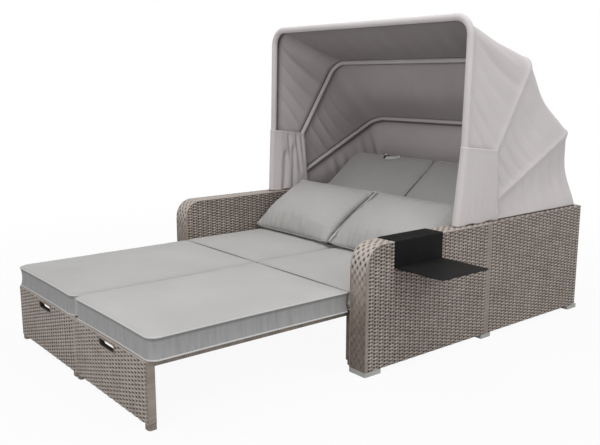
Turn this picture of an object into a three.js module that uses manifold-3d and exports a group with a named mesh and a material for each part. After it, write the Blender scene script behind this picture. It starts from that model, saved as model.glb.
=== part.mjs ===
// Outdoor daybed with a folding canopy, two pull-out footstools and a side tray that hooks over one arm.
// Millimetres, +Z up. The daybed's own axes: x across from the centre line, y from the front of the arms
// towards the back, z up from the ground. The exported group moves the middle of the outline to x = y = 0.
import * as THREE from "three";
import { mergeVertices } from "three/addons/utils/BufferGeometryUtils.js";
import Module from "manifold-3d";

const wasm = await Module();
wasm.setup();

// Gap left between two pieces that touch, and how far a cutting tool runs past what it cuts
const fitGap = 0.3;
const overrun = 5;
const weldDistance = 1e-4;

// Body
const bodyWidth = 1500;
const bodyDepth = 1558;
const sideHeight = 550;
const armDepth = 787;
const armWidth = 98;
const armNoseRadius = 92;
const rearWall = 40;
const rearCornerRadius = 24;
const footHeight = 20;
const footCornerRadius = 4;
const frontFootLength = 92;
const middleFootLength = 70;
const rearFootLength = 80;
const rearFootWidth = 80;
const halfBody = bodyWidth / 2;
const armInner = halfBody - armWidth;
const rearInner = halfBody - rearWall;

// Footstools
const stoolSideGap = 34;
const stoolDepth = 910;
const stoolHeight = 255;
const stoolBackGap = 2;
const stoolMidGap = 1;
const stoolWidth = armInner - stoolSideGap - stoolMidGap;
const stoolPost = 36;
const stoolPanelThickness = 14;
const stoolRailHeight = 24;
const stoolBarWidth = 44;
const stoolBarThickness = 7;
const stoolBarCount = 6;
const handHoleWidth = 130;
const handHoleHeight = 28;
const handHoleDrop = 14;
const handHoleRadius = 12;
const stoolTail = 85;
const stoolFootWidth = 36;
const stoolFootLength = 34;
const stoolFootSetBack = 2;
const stoolFootOverhang = 5;
const stoolFootRadius = 9;
const stoolFront = -(stoolDepth + stoolBackGap);
const stoolBack = stoolFront + stoolDepth + stoolTail;

// Seat frame, which the footstools slide under
const stoolRunGap = 2;
const seatFrameHeight = 27;
const seatRail = 28;
const apronThickness = 12;
const seatBarCount = 5;
const seatBarWidth = 40;
const seatBarThickness = 6;
const seatBarRecess = 0.5;
const seatBottom = stoolHeight + stoolRunGap;
const seatDeck = seatBottom + seatFrameHeight;

// Backrests: u runs up along the backrest from its hinge line, v square out of its face
const hingeSetBack = 47;
const hingeY = armDepth - hingeSetBack;
const backrestBarThickness = 13.5;
const hingeRise = backrestBarThickness + 0.5 * fitGap;
const backrestIncline = 36.3;
const backrestLength = 690;
const backrestRail = 28;
const backrestBarCount = 6;
const backrestBarWidth = 34;
const backrestSlatThickness = 6;
const backrestSlatRecess = 0.5;
const knuckleRadius = 11;
const pinRadius = 5;
const pinClearance = 0.2;
const pinHeadRadius = 8;
const pinHeadLength = 3;
const hingeEndGap = 1.4;
const backrestMidGap = 6;
const centreBracketThickness = 9;
const ratchetPlateThickness = 5;
const ratchetRootRadius = 37;
const ratchetTipRadius = 42;
const ratchetToothAngle = 11;
const ratchetFirstTooth = -20;
const ratchetToothCount = 13;
const pawlGap = 1.5;
const pawlLength = 14;
const pawlThickness = 7;
const restRailInset = 178;
const restRailY = bodyDepth - restRailInset;
const restRailWidth = 30;
const restRailHeight = 25;
const hingeZ = seatBottom + hingeRise;
const inclineAngle = THREE.MathUtils.degToRad(backrestIncline);

// Cushions
const cushionSideGap = 6.5;
const cushionMidGap = 2;
const cushionSeamY = 3;
const cushionEndGap = 1.5;
const cushionCrown = 18;
const cushionDrawIn = 5;
const cushionPullIn = 4;
const cushionCornerRadius = 42;
const seatCushionThickness = 57.5;
const seatCushionBelly = 4;
const seatCushionHeelGap = 70.5;
const seatCushionLength = hingeY - seatCushionHeelGap - cushionSeamY - cushionEndGap;
const apronSetBack = cushionSeamY - cushionEndGap + fitGap;
const stoolCushionThickness = 84;
const stoolCushionBelly = 5.5;
const stoolCushionFront = 4;
const backCushionThickness = 73.5;
const backCushionBelly = 4;
const backCushionStart = 30;
const backCushionLength = backrestLength + cushionPullIn - backCushionStart;
const strapThickness = 3;
const strapWidth = 22;
const strapReach = 70;
const strapPlace = 323;
const buckleWidth = 34;
const buckleLength = 16;
const buckleThickness = 6;

// Throw pillows
const pillowSideGap = 24;
const pillowHeight = 396;
const pillowMidGap = 8;
const pillowWidth = armInner - pillowSideGap - pillowMidGap;
const pillowToe = 285;
const pillowFrontY = hingeY - pillowToe;
const pillowFrontZ = 398;
const pillowIncline = 31.5;
const pillowFrontBulge = 52;
const pillowBackBulge = 150;
const pillowPinch = 0.045;
const pillowEdge = 3;
const pillowRestGap = 6;
const pillowHeel = 180;
const pillowHeelStart = hingeY - pillowHeel;
const pillowHeelSlope = 0.35;

// Canopy: three bows on one pivot line, each a straight-legged hoop of round tube
const pivotSetBack = 127;
const pivotY = armDepth - pivotSetBack;
const pivotRise = 28;
const bowHalfWidth = halfBody - armWidth / 2;
const bowRadius = 12.5;
const bowCornerRadius = 80;
const tabLength = 165;
const tabWidth = 20;
const tabThickness = 4.5;
const tabPitch = 6;
const tabOverlap = 6;
const bowSides = 10;
const rearBowInset = 7;
const bows = {
  front: { reach: 887, topAngle: 90.65, kneeAngle: 99.4 },
  middle: { reach: 849, topAngle: 57.35, kneeAngle: 55.5 },
  rear: { reach: bodyDepth - rearBowInset - pivotY, topAngle: 24.2, kneeAngle: 15.2 },
};
const bracketLength = 60;
const bracketBase = 3.5;
const bracketCheek = 3;
const bracketHead = 14;
const bracketCheekGap = 0.6;
const pivotBoltRadius = 5;
const pivotHeadRadius = 8;
const pivotHeadLength = 2.5;
const clothThickness = 3;
const clothClearance = 3;
const hemRise = 6;
const hemBackInset = 13;
const hemStart = 70;
const hemCornerRadius = 60;
const clothLegColumns = 5;
const clothCornerColumns = 4;
const clothTopColumns = 8;
const clothRows = 9;
const clothEdgeShare = 0.004;
const clothSag = { front: 12, middle: 32, rear: 42 };
const sideFoldDepth = 9;
const sideFoldCount = 3;
const sideFoldFree = 220;
const flapTop = 905;
const flapRearTop = 875;
const flapRearReach = 210;
const flapRearY = pivotY + flapRearReach;
const flapBottomRise = 3;
const flapNoseGap = 5;
const flapNoseFlare = 35;
const flapInnerGap = 5;
const flapOuterGap = 2;
const flapWave = 5;
const flapWaveCount = 3;
const pivotZ = sideHeight + pivotRise;

// Side tray
const trayThickness = 3;
const trayFront = 157;
const trayWidth = 292;
const trayDrop = 110;
const trayShelfReach = 256;
const trayLip = 18;
const trayCornerRadius = 14;
const trayBend = 5;

// Finishes
function finish(color, roughness, metalness = 0) {
  return new THREE.MeshStandardMaterial({ color, roughness, metalness });
}
const wicker = finish("#8f857d", 0.7);
const wrap = finish("#857b74", 0.7);
const footPlastic = finish("#c9cac9", 0.5);
const coatedSteel = finish("#4b4a4a", 0.5, 0.6);
const trayCoat = finish("#1f1f1f", 0.55, 0.3);
const zinc = finish("#a9abad", 0.35, 0.9);
const bowAlloy = finish("#b9b5b2", 0.4, 0.8);
const cushionCloth = finish("#b4b4b2", 0.9);
const backCloth = finish("#a2a2a1", 0.9);
const canopyCloth = finish("#bfb9b8", 0.85);
const webbing = finish("#8c8c8b", 0.8);

const daybed = new THREE.Group();
const sides = [
  ["left", -1],
  ["right", 1],
];

function add(name, geometry, material, parent = daybed) {
  const mesh = new THREE.Mesh(geometry, material);
  mesh.name = name;
  parent.add(mesh);
}

// Solids: closed meshes joined and cut
function toSolid(geometry) {
  const plain = geometry.clone();
  plain.deleteAttribute("normal");
  plain.deleteAttribute("uv");
  const merged = mergeVertices(plain, weldDistance);
  const vertProperties = Float32Array.from(merged.attributes.position.array);
  const triVerts = Uint32Array.from(merged.index.array);
  return new wasm.Manifold(new wasm.Mesh({ numProp: 3, vertProperties, triVerts }));
}

function toGeometry(solid) {
  const mesh = solid.getMesh();
  const geometry = new THREE.BufferGeometry();
  geometry.setAttribute("position", new THREE.BufferAttribute(mesh.vertProperties, 3));
  geometry.setIndex(new THREE.BufferAttribute(mesh.triVerts, 1));
  return geometry;
}

function join(geometries) {
  return toGeometry(geometries.map(toSolid).reduce((whole, piece) => whole.add(piece)));
}

function cut(geometry, tools) {
  return toGeometry(tools.map(toSolid).reduce((left, tool) => left.subtract(tool), toSolid(geometry)));
}

function common(first, second) {
  return toGeometry(toSolid(first).intersect(toSolid(second)));
}

function box([x0, x1], [y0, y1], [z0, z1]) {
  const geometry = new THREE.BoxGeometry(Math.abs(x1 - x0), y1 - y0, z1 - z0);
  return geometry.translate((x0 + x1) / 2, (y0 + y1) / 2, (z0 + z1) / 2);
}

// The span from a to b out from the centre line, on the left or the right
function span(side, a, b) {
  return side > 0 ? [a, b] : [-b, -a];
}

// A closed outline through corners [x, y, radius], each rounded by its radius
const arcPull = 0.5523;
function outline(corners) {
  const shape = new THREE.Shape();
  corners.forEach(([x, y, radius = 0], i) => {
    const [px, py] = corners[(i + corners.length - 1) % corners.length];
    const [nx, ny] = corners[(i + 1) % corners.length];
    const corner = new THREE.Vector2(x, y);
    const start = corner.clone().addScaledVector(new THREE.Vector2(x - px, y - py).normalize(), -radius);
    const end = corner.clone().addScaledVector(new THREE.Vector2(nx - x, ny - y).normalize(), radius);
    if (i === 0) shape.moveTo(start.x, start.y);
    else shape.lineTo(start.x, start.y);
    if (radius > 0) {
      const a = start.clone().lerp(corner, arcPull);
      const b = end.clone().lerp(corner, arcPull);
      shape.bezierCurveTo(a.x, a.y, b.x, b.y, end.x, end.y);
    }
  });
  shape.closePath();
  return shape;
}

// An outline pushed along an axis: (y, z) along x, (x, z) along y, or (x, y) along z
const unitX = new THREE.Vector3(1, 0, 0);
const unitY = new THREE.Vector3(0, 1, 0);
const unitZ = new THREE.Vector3(0, 0, 1);
const pushAxes = {
  x: [unitY, unitZ, unitX],
  y: [unitX, unitZ, unitY.clone().negate()],
  z: [unitX, unitY, unitZ],
};
function push(shape, axis, [from, to], curveSegments = 6) {
  const geometry = new THREE.ExtrudeGeometry(shape, { depth: to - from, bevelEnabled: false, curveSegments });
  geometry.applyMatrix4(new THREE.Matrix4().makeBasis(...pushAxes[axis]));
  const start = axis === "y" ? to : from;
  return geometry.translate(axis === "x" ? start : 0, axis === "y" ? start : 0, axis === "z" ? start : 0);
}

function rod(radius, [x0, x1], y, z, segments = 20) {
  const geometry = new THREE.CylinderGeometry(radius, radius, x1 - x0, segments);
  return geometry.rotateY(Math.PI / segments).rotateZ(Math.PI / 2).translate((x0 + x1) / 2, y, z);
}

// A surface turned outwards if its triangles face in
function facingOut(points, index) {
  let volume = 0;
  for (let i = 0; i < index.length; i += 3) {
    const [a, b, c] = [points[index[i]], points[index[i + 1]], points[index[i + 2]]];
    volume += a.dot(b.clone().cross(c));
  }
  if (volume < 0) index.reverse();
  const geometry = new THREE.BufferGeometry().setFromPoints(points);
  geometry.setIndex(index);
  return geometry;
}

// A closed skin through rings with the same number of points, with a fan over each end
function loft(rings) {
  const count = rings[0].length;
  const points = rings.flat();
  const index = [];
  for (let r = 0; r + 1 < rings.length; r++) {
    for (let i = 0; i < count; i++) {
      const a = r * count + i;
      const b = r * count + ((i + 1) % count);
      index.push(a, b, b + count, a, b + count, a + count);
    }
  }
  for (const end of [0, rings.length - 1]) {
    const middle = new THREE.Vector3();
    rings[end].forEach((p) => middle.addScaledVector(p, 1 / count));
    const hub = points.push(middle) - 1;
    for (let i = 0; i < count; i++) {
      const a = end * count + i;
      const b = end * count + ((i + 1) % count);
      if (end === 0) index.push(hub, b, a);
      else index.push(hub, a, b);
    }
  }
  return facingOut(points, index);
}

// A closed sheet between two faces, each a function of a column and a row
function sheet(columns, rows, front, back) {
  const points = [];
  for (const face of [front, back]) {
    for (let j = 0; j < rows; j++) {
      for (let i = 0; i < columns; i++) points.push(face(i, j));
    }
  }
  const size = columns * rows;
  const index = [];
  const quad = (a, b, c, d) => index.push(a, b, c, a, c, d);
  for (let j = 0; j + 1 < rows; j++) {
    for (let i = 0; i + 1 < columns; i++) {
      const a = j * columns + i;
      quad(a, a + 1, a + 1 + columns, a + columns);
      quad(size + a, size + a + columns, size + a + 1 + columns, size + a + 1);
    }
  }
  const edge = (a, b) => quad(b, a, size + a, size + b);
  for (let i = 0; i + 1 < columns; i++) {
    edge(i, i + 1);
    edge((rows - 1) * columns + i + 1, (rows - 1) * columns + i);
  }
  for (let j = 0; j + 1 < rows; j++) {
    edge((j + 1) * columns, j * columns);
    edge(j * columns + columns - 1, (j + 1) * columns + columns - 1);
  }
  return facingOut(points, index);
}

// Body panels
function armProfile() {
  const back = armDepth - fitGap;
  return outline([
    [0, footHeight],
    [back, footHeight],
    [back, sideHeight],
    [0, sideHeight, armNoseRadius],
  ]);
}

function rearSideProfile(side) {
  const outer = side * halfBody;
  const inner = side * rearInner;
  return outline([
    [inner, armDepth],
    [outer, armDepth],
    [outer, bodyDepth, rearCornerRadius],
    [inner, bodyDepth],
  ]);
}

function foot([x0, x1], [y0, y1], radius = footCornerRadius) {
  const corners = [
    [x0, y0],
    [x1, y0],
    [x1, y1],
    [x0, y1],
  ];
  const rounded = outline(corners.map(([x, y]) => [x, y, radius]));
  return push(rounded, "z", [0, footHeight - fitGap], 2);
}

const wallHeight = [footHeight, sideHeight];
const betweenRearSides = [-(rearInner - fitGap), rearInner - fitGap];
for (const [word, side] of sides) {
  add(`arm_${word}`, push(armProfile(), "x", span(side, armInner, halfBody), 10), wicker);
  add(`rear_side_${word}`, push(rearSideProfile(side), "z", wallHeight), wicker);
  const armSpan = span(side, armInner, halfBody);
  const cornerSpan = span(side, halfBody - rearFootWidth, halfBody);
  const middleFoot = [armDepth - middleFootLength / 2, armDepth + middleFootLength / 2];
  add(`front_foot_${word}`, foot(armSpan, [0, frontFootLength]), footPlastic);
  add(`middle_foot_${word}`, foot(armSpan, middleFoot), footPlastic);
  add(`rear_foot_${word}`, foot(cornerSpan, [bodyDepth - rearFootLength, bodyDepth]), footPlastic);
}
add("rear_panel", box(betweenRearSides, [bodyDepth - rearWall, bodyDepth], wallHeight), wicker);
const restRailTop = hingeZ - backrestBarThickness - fitGap;
const restRailAlong = [restRailY, restRailY + restRailWidth];
const restRail = box(betweenRearSides, restRailAlong, [restRailTop - restRailHeight, restRailTop]);
add("rest_rail", restRail, coatedSteel);

// Seat frame: a welded ladder, notched at its rear corners for the ratchet plates
function seatFrame() {
  const outer = armInner - fitGap;
  const rearEnd = hingeY - knuckleRadius - fitGap;
  const rearOuter = outer - ratchetPlateThickness - hingeEndGap;
  const sideEnd = hingeY - ratchetTipRadius - stoolRunGap;
  const front = apronSetBack + apronThickness + fitGap;
  const height = [seatBottom, seatDeck];
  const barHeight = [seatDeck - seatBarThickness, seatDeck - seatBarRecess];
  const beamHeight = [seatBottom + seatBarRecess, seatDeck - seatBarRecess];
  const pieces = [
    box([-(outer - seatRail / 2), outer - seatRail / 2], [front, front + seatRail], beamHeight),
    box([-rearOuter, rearOuter], [rearEnd - seatRail - overrun, rearEnd], height),
    box([-seatRail / 2, seatRail / 2], [front + seatRail / 2, rearEnd - seatRail / 2], height),
  ];
  for (const [, side] of sides) {
    pieces.push(box(span(side, outer - seatRail, outer), [front, sideEnd], height));
  }
  const pitch = (rearEnd - seatRail - front) / (seatBarCount + 1);
  for (let i = 1; i <= seatBarCount; i++) {
    const middle = front + seatRail / 2 + i * pitch;
    const along = [middle - seatBarWidth / 2, middle + seatBarWidth / 2];
    pieces.push(box([-(outer - seatRail / 2), outer - seatRail / 2], along, barHeight));
  }
  return join(pieces);
}
add("seat_frame", seatFrame(), coatedSteel);
const apronSpan = [-(armInner - fitGap), armInner - fitGap];
const apronAlong = [apronSetBack, apronSetBack + apronThickness];
add("seat_front_apron", box(apronSpan, apronAlong, [seatBottom, seatDeck]), wicker);

// Hinges of the backrests
const pinHole = (spanX) => rod(pinRadius + pinClearance, spanX, hingeY, hingeZ);
const backrestOuter = armInner - fitGap - ratchetPlateThickness - hingeEndGap;

function ratchetPlate(side) {
  const points = [];
  const place = (radius, degrees) => {
    const angle = THREE.MathUtils.degToRad(degrees);
    points.push(new THREE.Vector2(hingeY + radius * Math.cos(angle), hingeZ + radius * Math.sin(angle)));
  };
  for (let i = 0; i < ratchetToothCount; i++) {
    const angle = ratchetFirstTooth + i * ratchetToothAngle;
    place(ratchetRootRadius, angle);
    place(ratchetTipRadius, angle + ratchetToothAngle / 5);
    place(ratchetTipRadius, angle + (3 * ratchetToothAngle) / 5);
  }
  const end = ratchetFirstTooth + ratchetToothCount * ratchetToothAngle;
  const plainSteps = 12;
  const plainAngle = (360 - ratchetToothCount * ratchetToothAngle) / plainSteps;
  for (let i = 0; i < plainSteps; i++) place(ratchetRootRadius, end + i * plainAngle);
  const spanX = span(side, armInner - fitGap - ratchetPlateThickness, armInner - fitGap);
  const blank = push(new THREE.Shape(points), "x", spanX);
  return cut(blank, [pinHole([spanX[0] - overrun, spanX[1] + overrun])]);
}

function centreBracket() {
  const low = hingeZ - knuckleRadius;
  const high = hingeZ + knuckleRadius;
  const front = hingeY - knuckleRadius;
  const back = hingeY + knuckleRadius;
  const tongue = outline([
    [front, low],
    [back, low, knuckleRadius],
    [back, high, knuckleRadius],
    [front, high],
  ]);
  const halfThickness = centreBracketThickness / 2;
  const spanX = [-halfThickness, halfThickness];
  return cut(push(tongue, "x", spanX), [pinHole([-centreBracketThickness, centreBracketThickness])]);
}

const innerKnuckle = [backrestMidGap, backrestMidGap + backrestRail];
const outerKnuckle = [backrestOuter - backrestRail, backrestOuter];
for (const [word, side] of sides) {
  add(`ratchet_plate_${word}`, ratchetPlate(side), zinc);
  const shank = span(side, outerKnuckle[0] - pinHeadLength - fitGap, armInner - fitGap);
  const head = span(side, outerKnuckle[0] - pinHeadLength - fitGap, outerKnuckle[0] - fitGap);
  const pin = join([rod(pinRadius, shank, hingeY, hingeZ), rod(pinHeadRadius, head, hingeY, hingeZ)]);
  add(`hinge_pin_${word}`, pin, zinc);
}
const centrePinEnd = innerKnuckle[1] + fitGap;
const centrePin = [rod(pinRadius, [-centrePinEnd, centrePinEnd], hingeY, hingeZ)];
for (const [, side] of sides) {
  centrePin.push(rod(pinHeadRadius, span(side, centrePinEnd, centrePinEnd + pinHeadLength), hingeY, hingeZ));
}
add("centre_hinge_bracket", centreBracket(), zinc);
add("centre_hinge_pin", join(centrePin), zinc);

// Backrest frame in its own axes: x across, u from the hinge line up the frame, v out of its face
function backrestFrame(side) {
  const thickness = [-backrestBarThickness, 0];
  const bar = [-backrestBarThickness + backrestSlatRecess, -backrestSlatRecess];
  const slat = [-backrestSlatThickness, -backrestSlatRecess];
  const across = span(side, backrestMidGap + backrestRail / 2, backrestOuter - backrestRail / 2);
  const rails = [innerKnuckle, outerKnuckle].map(([a, b]) => span(side, a, b));
  const pieces = [];
  for (const rail of rails) {
    pieces.push(box(rail, [knuckleRadius / 2, backrestLength], thickness));
    pieces.push(rod(knuckleRadius, rail, 0, 0));
  }
  const firstBar = knuckleRadius + backrestRail;
  const lastBar = backrestLength - backrestSlatRecess;
  pieces.push(box(across, [firstBar, firstBar + backrestRail], bar));
  pieces.push(box(across, [lastBar - backrestRail, lastBar], bar));
  const pitch = (backrestLength - firstBar - backrestRail) / (backrestBarCount + 1);
  for (let i = 1; i <= backrestBarCount; i++) {
    const middle = firstBar + backrestRail / 2 + i * pitch;
    pieces.push(box(across, [middle - backrestBarWidth / 2, middle + backrestBarWidth / 2], slat));
  }
  const pawlStart = ratchetTipRadius + pawlGap;
  const pawl = outline([
    [pawlStart, -pawlThickness / 3],
    [pawlStart + pawlLength, -pawlThickness],
    [pawlStart + pawlLength, -backrestSlatRecess],
    [pawlStart + pawlLength / 3, -backrestSlatRecess],
  ]);
  pieces.push(push(pawl, "x", span(side, backrestOuter - overrun, armInner - hingeEndGap)));
  const bores = rails.map(([a, b]) => rod(pinRadius + pinClearance, [a - overrun, b + overrun], 0, 0));
  return cut(join(pieces), bores);
}

// Cushions: rings that belly out below, draw in between the seams and rise to a crown
const cushionOuter = armInner - cushionSideGap;
const cushionWidth = cushionOuter - cushionMidGap;
const cushionMiddle = (cushionMidGap + cushionOuter) / 2;
const cushionCornerPoints = 4;
const cushionSidePoints = 4;
const crownShares = [
  [0.06, 0.28],
  [0.2, 0.75],
  [0.38, 0.97],
  [0.7, 1],
];
const bellyShare = 0.07;

function cushionRing(halfX, halfY, inset, z, pullIn) {
  const hx = halfX - inset;
  const hy = halfY - inset;
  const radius = Math.max(Math.min(cushionCornerRadius - inset / 3, hx / 2, hy / 2), cushionDrawIn);
  const quarter = Math.PI / 2;
  const ring = [];
  for (let q = 0; q < 4; q++) {
    const [sx, sy] = [q === 0 || q === 3 ? 1 : -1, q < 2 ? 1 : -1];
    const centre = new THREE.Vector2(sx * (hx - radius), sy * (hy - radius));
    for (let i = 0; i < cushionCornerPoints; i++) {
      const angle = quarter * (q + i / (cushionCornerPoints - 1));
      ring.push([centre.x + radius * Math.cos(angle), centre.y + radius * Math.sin(angle)]);
    }
    const last = ring[ring.length - 1];
    const nextAlongX = q % 2 === 0;
    const next = nextAlongX ? [-last[0], last[1]] : [last[0], -last[1]];
    for (let i = 1; i <= cushionSidePoints; i++) {
      const share = i / (cushionSidePoints + 1);
      const pull = pullIn * Math.sin(Math.PI * share);
      const x = last[0] + (next[0] - last[0]) * share;
      const y = last[1] + (next[1] - last[1]) * share;
      ring.push(nextAlongX ? [x, y - Math.sign(y) * pull] : [x - Math.sign(x) * pull, y]);
    }
  }
  return ring.map(([x, y]) => new THREE.Vector3(x, y, z));
}

function cushion(length, thickness, belly) {
  const halfX = cushionWidth / 2;
  const halfY = length / 2;
  const least = Math.min(halfX, halfY);
  const rings = [
    cushionRing(halfX, halfY, bellyShare * least, 0, cushionPullIn),
    cushionRing(halfX, halfY, 0, belly, cushionPullIn),
    cushionRing(halfX, halfY, cushionDrawIn, (belly + thickness) / 2, cushionPullIn),
    cushionRing(halfX, halfY, 0, thickness, cushionPullIn),
  ];
  for (const [insetShare, riseShare] of crownShares) {
    const pull = cushionPullIn * (1 - insetShare);
    rings.push(cushionRing(halfX, halfY, insetShare * least, thickness + riseShare * cushionCrown, pull));
  }
  return loft(rings);
}

const seatCushionFront = cushionSeamY + cushionEndGap;
const stoolCushionBack = cushionSeamY - cushionEndGap;
const stoolCushionLength = stoolCushionBack - (stoolFront + stoolCushionFront);
for (const [word, side] of sides) {
  const seat = cushion(seatCushionLength, seatCushionThickness, seatCushionBelly);
  seat.translate(side * cushionMiddle, seatCushionFront + seatCushionLength / 2, seatDeck + fitGap);
  add(`seat_cushion_${word}`, seat, cushionCloth);
  const stool = cushion(stoolCushionLength, stoolCushionThickness, stoolCushionBelly);
  stool.translate(side * cushionMiddle, stoolCushionBack - stoolCushionLength / 2, stoolHeight + fitGap);
  add(`stool_cushion_${word}`, stool, cushionCloth);
}

// Strap over the cushion's top edge with its buckle, as an outline in u and v pushed across
function strapWithBuckle(side) {
  const end = backrestLength + 2 * fitGap;
  const outer = backCushionThickness + cushionCrown + strapThickness + fitGap;
  const spanX = span(side, strapPlace - strapWidth / 2, strapPlace + strapWidth / 2);
  const low = -backrestBarThickness;
  const band = outline([
    [end, low],
    [end + strapThickness, low],
    [end + strapThickness, outer, strapThickness],
    [end - strapReach, outer],
    [end - strapReach, outer - strapThickness],
    [end, outer - strapThickness],
  ]);
  const middle = side * strapPlace;
  const buckleSpan = [middle - buckleWidth / 2, middle + buckleWidth / 2];
  const buckleStart = end - (strapReach + buckleLength) / 2;
  const buckleAlong = [buckleStart, buckleStart + buckleLength];
  const buckle = box(buckleSpan, buckleAlong, [outer - fitGap, outer + buckleThickness]);
  return join([push(band, "x", spanX), buckle]);
}

for (const [word, side] of sides) {
  const backrest = new THREE.Group();
  backrest.position.set(0, hingeY, hingeZ);
  backrest.rotation.x = inclineAngle;
  daybed.add(backrest);
  add(`backrest_frame_${word}`, backrestFrame(side), coatedSteel, backrest);
  const back = cushion(backCushionLength, backCushionThickness, backCushionBelly);
  back.translate(side * cushionMiddle, backCushionStart + backCushionLength / 2, fitGap);
  add(`back_cushion_${word}`, back, backCloth, backrest);
  add(`cushion_strap_${word}`, strapWithBuckle(side), webbing, backrest);
}

// Throw pillows: two bulging faces from one pinched edge, flat where they rest on the seat and the back
const pillowColumns = 15;
const pillowRows = 11;
const pillowCentre = pillowMidGap + pillowWidth / 2;

function pillowPoint(side, i, j, bulge) {
  const a = (2 * i) / (pillowColumns - 1) - 1;
  const b = (2 * j) / (pillowRows - 1) - 1;
  const swell = Math.sqrt(Math.max((1 - a * a) * (1 - b * b), 0));
  const across = (pillowWidth / 2) * a * (1 - pillowPinch * (1 - b * b));
  const up = (pillowHeight / 2) * (1 + b * (1 - pillowPinch * (1 - a * a)));
  const out = bulge * swell + Math.sign(bulge) * pillowEdge;
  const angle = THREE.MathUtils.degToRad(pillowIncline);
  const y = pillowFrontY + up * Math.cos(angle) - out * Math.sin(angle);
  const z = pillowFrontZ + up * Math.sin(angle) + out * Math.cos(angle);
  return new THREE.Vector3(side * pillowCentre + across, y, z);
}

// Moves a point out of the seat, of the heel above it, and of the backrest's cushion
function restPillow(point) {
  const seatTop = seatDeck + fitGap + seatCushionThickness + cushionCrown;
  const heel = Math.max(point.y - pillowHeelStart, 0) * pillowHeelSlope;
  point.z = Math.max(point.z, seatTop + fitGap + heel);
  const face = fitGap + backCushionThickness + cushionCrown + pillowRestGap;
  const normal = new THREE.Vector3(0, -Math.sin(inclineAngle), Math.cos(inclineAngle));
  const height = (point.y - hingeY) * normal.y + (point.z - hingeZ) * normal.z;
  if (height < face) point.addScaledVector(normal, face - height);
  return point;
}

for (const [word, side] of sides) {
  const front = (i, j) => pillowPoint(side, i, j, pillowFrontBulge);
  const back = (i, j) => restPillow(pillowPoint(side, i, j, -pillowBackBulge));
  add(`throw_pillow_${word}`, sheet(pillowColumns, pillowRows, front, back), cushionCloth);
}

// Footstools
function stoolPanel(side) {
  const front = stoolFront;
  const [near, far] = span(side, stoolMidGap, stoolMidGap + stoolWidth);
  const plan = outline([
    [near, front],
    [far, front],
    [far, front + stoolPost],
    [far - stoolPost, front + stoolPost],
    [far - stoolPost, front + stoolPanelThickness],
    [near + stoolPost, front + stoolPanelThickness],
    [near + stoolPost, front + stoolPost],
    [near, front + stoolPost],
  ]);
  const middle = (near + far) / 2;
  const top = stoolHeight - handHoleDrop;
  const left = middle - handHoleWidth / 2;
  const right = middle + handHoleWidth / 2;
  const hole = outline([
    [left, top - handHoleHeight, handHoleRadius],
    [right, top - handHoleHeight, handHoleRadius],
    [right, top, handHoleRadius],
    [left, top, handHoleRadius],
  ]);
  const holeSpan = [front - overrun, front + stoolPanelThickness + overrun];
  return cut(push(plan, "z", [footHeight, stoolHeight]), [push(hole, "y", holeSpan, 3)]);
}

function stoolFrame(side) {
  const [near, far] = span(side, stoolMidGap, stoolMidGap + stoolWidth);
  const front = stoolFront + stoolPost + fitGap;
  const back = stoolBack;
  const rail = [stoolHeight - stoolRailHeight, stoolHeight];
  const bar = [stoolHeight - stoolBarThickness, stoolHeight];
  const pieces = [
    box([near, near + stoolPost], [front, back], rail),
    box([far - stoolPost, far], [front, back], rail),
    box([near, far], [back - stoolPost, back], rail),
    box([near, near + stoolPost], [back - stoolPost, back], [footHeight, stoolHeight]),
    box([far - stoolPost, far], [back - stoolPost, back], [footHeight, stoolHeight]),
  ];
  const pitch = (back - front - stoolPost) / stoolBarCount;
  for (let i = 0; i < stoolBarCount; i++) {
    const start = front + i * pitch;
    pieces.push(box([near + stoolPost / 2, far - stoolPost / 2], [start, start + stoolBarWidth], bar));
  }
  return join(pieces);
}

for (const [word, side] of sides) {
  add(`stool_panel_${word}`, stoolPanel(side), wicker);
  add(`stool_frame_${word}`, stoolFrame(side), wrap);
  const outer = stoolMidGap + stoolWidth + stoolFootOverhang;
  const innerSpan = span(side, stoolMidGap, stoolMidGap + stoolFootWidth);
  const outerSpan = span(side, outer - stoolFootWidth, outer);
  const starts = {
    front: stoolFront + stoolFootSetBack,
    back: stoolBack - stoolFootSetBack - stoolFootLength,
  };
  for (const [end, start] of Object.entries(starts)) {
    const along = [start, start + stoolFootLength];
    add(`stool_foot_${end}_inner_${word}`, foot(innerSpan, along, stoolFootRadius), wrap);
    add(`stool_foot_${end}_outer_${word}`, foot(outerSpan, along, stoolFootRadius), wrap);
  }
}

// Canopy bows. A point at a radius and an angle from the pivot line, and the hoop that they give
function fromPivot(radius, degrees) {
  const angle = THREE.MathUtils.degToRad(degrees);
  return new THREE.Vector3(0, pivotY + radius * Math.cos(angle), pivotZ + radius * Math.sin(angle));
}

function hoop(bow) {
  const knee = fromPivot(tabLength, bow.kneeAngle);
  const top = fromPivot(bow.reach, bow.topAngle);
  const up = top.clone().sub(knee).normalize();
  return { knee, top, up, rise: top.distanceTo(knee) };
}

// The hoop's centre line and what is square to it in its own plane: legs, quarter turns and crossbar
function hoopLine(hoopShape, halfWidth, cornerRadius) {
  const { knee, up, rise } = hoopShape;
  const turns = 5;
  const line = [];
  const put = (x, along, turn) => line.push({ x, along, turn });
  put(-halfWidth, 0, 0);
  for (let i = 0; i <= turns; i++) {
    const turn = (i / turns) * (Math.PI / 2);
    const x = -halfWidth + cornerRadius * (1 - Math.cos(turn));
    put(x, rise - cornerRadius * (1 - Math.sin(turn)), turn);
  }
  for (let i = turns; i >= 0; i--) {
    const { x, along, turn } = line[1 + i];
    put(-x, along, Math.PI - turn);
  }
  put(halfWidth, 0, Math.PI);
  return line.map(({ x, along, turn }) => ({
    centre: knee.clone().addScaledVector(up, along).setX(x),
    square: up.clone().multiplyScalar(Math.sin(turn)).addScaledVector(unitX, -Math.cos(turn)),
  }));
}

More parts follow.
